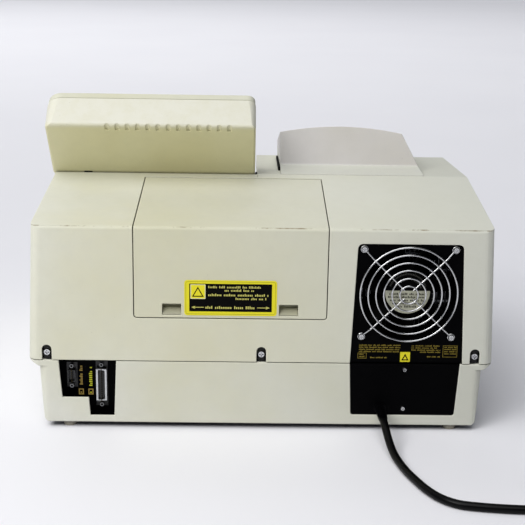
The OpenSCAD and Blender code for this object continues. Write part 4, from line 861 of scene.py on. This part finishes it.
def make_lid_pad():
    """Silicone pad under the lid, with a dimple over every well and a rolled edge."""
    frame_of_lid = Matrix.Translation(LID_AXIS) @ Matrix.Rotation(math.radians(LID_OPEN), 4, "X")
    x0, x1, y0, y1, face_z, back_z = 76, 196, -82, -12, -41, -37
    centre_x, centre_y = (x0 + x1) / 2, (y0 + y1) / 2
    pitch, dimple_deep, roll_r, columns, rows = 12.5, 0.9, 1.6, 96, 56

    def face_height(x, y):
        rim = min(x - x0, x1 - x, y - y0, y1 - y)
        rolled = roll_r - math.sqrt(max(roll_r ** 2 - max(roll_r - rim, 0) ** 2, 0))
        du = (x - centre_x) / pitch + 0.5
        dv = (y - centre_y) / pitch + 0.5
        near = (du - round(du)) ** 2 + (dv - round(dv)) ** 2
        over_wells = abs(x - centre_x) < 4 * pitch and abs(y - centre_y) < 3 * pitch - 2.0
        dimple = dimple_deep * math.exp(-near / 0.045) if over_wells else 0
        return face_z + rolled + dimple

    bm = bmesh.new()
    grid = []
    for j in range(rows + 1):
        y = y0 + (y1 - y0) * j / rows
        line = []
        for i in range(columns + 1):
            x = x0 + (x1 - x0) * i / columns
            line.append(bm.verts.new(frame_of_lid @ (Vector((x, y, face_height(x, y))) * MM)))
        grid.append(line)
    for j in range(rows):
        for i in range(columns):
            bm.faces.new((grid[j][i], grid[j + 1][i], grid[j + 1][i + 1], grid[j][i + 1]))
    rim = grid[0] + [line[-1] for line in grid[1:]] + grid[-1][-2::-1] + [line[0] for line in grid[-2:0:-1]]
    to_back = frame_of_lid.to_3x3() @ Vector((0, 0, (back_z - face_z - roll_r) * MM))
    back = [bm.verts.new(v.co + to_back) for v in rim]
    for i in range(len(rim)):
        j = (i + 1) % len(rim)
        bm.faces.new((rim[i], rim[j], back[j], back[i]))
    bm.faces.new(back)
    pad = add_piece("lid_cushion", bm, [pad_silicone], "lid", smooth=True)
    finish_piece(pad, "pad_silicone", "lid_pad")


DECK_Y, DECK_Z = 0.061, 0.271           # the break where the roof turns into the deck
DECK_FALL = 2.4                         # degrees that the deck falls towards the front


def make_hood_strip():
    """Black foam strip with a rounded, slightly uneven top, along the foot of the hood's flank; taller at
    the rear, it also stands for the flank's shadow on the deck, a painted shadow.
    """
    low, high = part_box("hood_seal")
    left, right = high.x - 0.15 * MM, high.x - 2.9 * MM
    centre, half, crown = (left + right) / 2, (left - right) / 2, 1.3 * MM
    stations, arc_steps = 60, 8
    bm = bmesh.new()
    rings = []
    for k in range(stations + 1):
        t = k / stations
        y = high.y + (low.y - high.y) * t
        foot = DECK_Z - (DECK_Y - y) * math.tan(math.radians(DECK_FALL)) - 0.1 * MM
        height = (5.4 - 1.7 * t + 0.22 * math.sin(k * 1.7) + 0.16 * math.sin(k * 0.61 + 1)) * MM
        shoulder = foot + height - crown
        arc = [math.pi * i / arc_steps for i in range(1, arc_steps)]
        section = [(left, foot), (left, shoulder)]
        section += [(centre + half * math.cos(a), shoulder + crown * math.sin(a)) for a in arc]
        section += [(right, shoulder), (right, foot)]
        rings.append([bm.verts.new((x, y, z)) for x, z in section])
    for a, b in zip(rings, rings[1:]):
        for i in range(len(a)):
            j = (i + 1) % len(a)
            bm.faces.new((a[i], a[j], b[j], b[i]))
    bm.faces.new(rings[0])
    bm.faces.new(rings[-1][::-1])
    strip = add_piece("hood_strip", bm, [black_foam], "housing", smooth=True)
    finish_piece(strip, "black_foam", "hood_seal")


def make_coil_tie():
    """Thin strap round one side of the wound lead."""
    inner_r, outer_r, top, wide, thick, side_of_coil = 24.6, 62.7, 18.9, 5.0, 0.5, math.radians(215)
    turn = Matrix.Translation(COIL_AT) @ Matrix.Rotation(side_of_coil, 4, "Z") @ Matrix.Scale(MM, 4)
    outside = rounded(inner_r - thick, 0.02, outer_r + thick, top + thick, 4.0, 6)
    inside = rounded(inner_r, 0.12, outer_r, top, 3.6, 6)
    bm = bmesh.new()
    rings = [[bm.verts.new(turn @ Vector((r, side * wide / 2, z))) for r, z in line]
             for line in (outside, inside) for side in (-1, 1)]
    out_a, out_b, in_a, in_b = rings
    join_rings(bm, [out_a, out_b, in_b, in_a])
    return finish_piece(add_piece("coil_tie", bm, [lead_rubber], "housing"), "lead_rubber")


make_lid_pad()
make_hood_strip()
coil_tie = make_coil_tie()


# ----------------------------------------------------------- floor and light

def make_floor():
    """A pale studio floor, wide enough to fill every view."""
    half_size = 60
    f = Finish("studio_floor", specular_ior_level=0.25)
    f.color(f.mix(f.noise(1.2, 3.0), linear(235, 235, 239), linear(230, 230, 235)))
    f.roughness(f.noise(3.0, 4.0), 0.5, 0.6)
    f.bump((f.noise(300.0, 2.0), 0.01 * MM))
    bm = bmesh.new()
    bmesh.ops.create_grid(bm, x_segments=2, y_segments=2, size=half_size)
    mesh = bpy.data.meshes.new("floor")
    bm.to_mesh(mesh)
    bm.free()
    mesh.materials.append(f.material)
    floor = bpy.data.objects.new("floor", mesh)
    bpy.context.collection.objects.link(floor)


def softbox(name, place, target, size, watts, tint):
    """A rectangular light at a place, turned to its target."""
    data = bpy.data.lights.new(name, "AREA")
    data.shape = "RECTANGLE"
    data.size, data.size_y = size
    data.energy = watts
    data.color = tint
    light = bpy.data.objects.new(name, data)
    light.location = place
    light.rotation_euler = (Vector(target) - Vector(place)).to_track_quat("-Z", "Y").to_euler()
    bpy.context.collection.objects.link(light)


def make_lights():
    """A broad light from high on the left, a near softbox on the left, and one over the far floor."""
    world = bpy.data.worlds.new("studio")
    world.use_nodes = True
    backdrop = world.node_tree.nodes["Background"]
    backdrop.inputs["Color"].default_value = linear(222, 227, 242)
    backdrop.inputs["Strength"].default_value = 0.16
    bpy.context.scene.world = world
    towards = Vector((-0.46, -0.62, -1.40))
    data = bpy.data.lights.new("overhead", "SUN")
    data.energy = 2.08
    data.angle = math.radians(58)
    overhead = bpy.data.objects.new("overhead", data)
    overhead.rotation_euler = towards.to_track_quat("-Z", "Y").to_euler()
    bpy.context.collection.objects.link(overhead)
    softbox("key", (0.86, 1.18, 1.08), (0.1, 0.15, 0.12), (0.7, 0.7), 9.6, (1, 0.985, 0.95))
    softbox("backdrop", (3.0, -6.0, 3.8), (2.4, -6.0, 0), (8, 9), 215, (1, 0.995, 0.985))
    bpy.context.scene.view_settings.view_transform = "Standard"


make_floor()
make_lights()
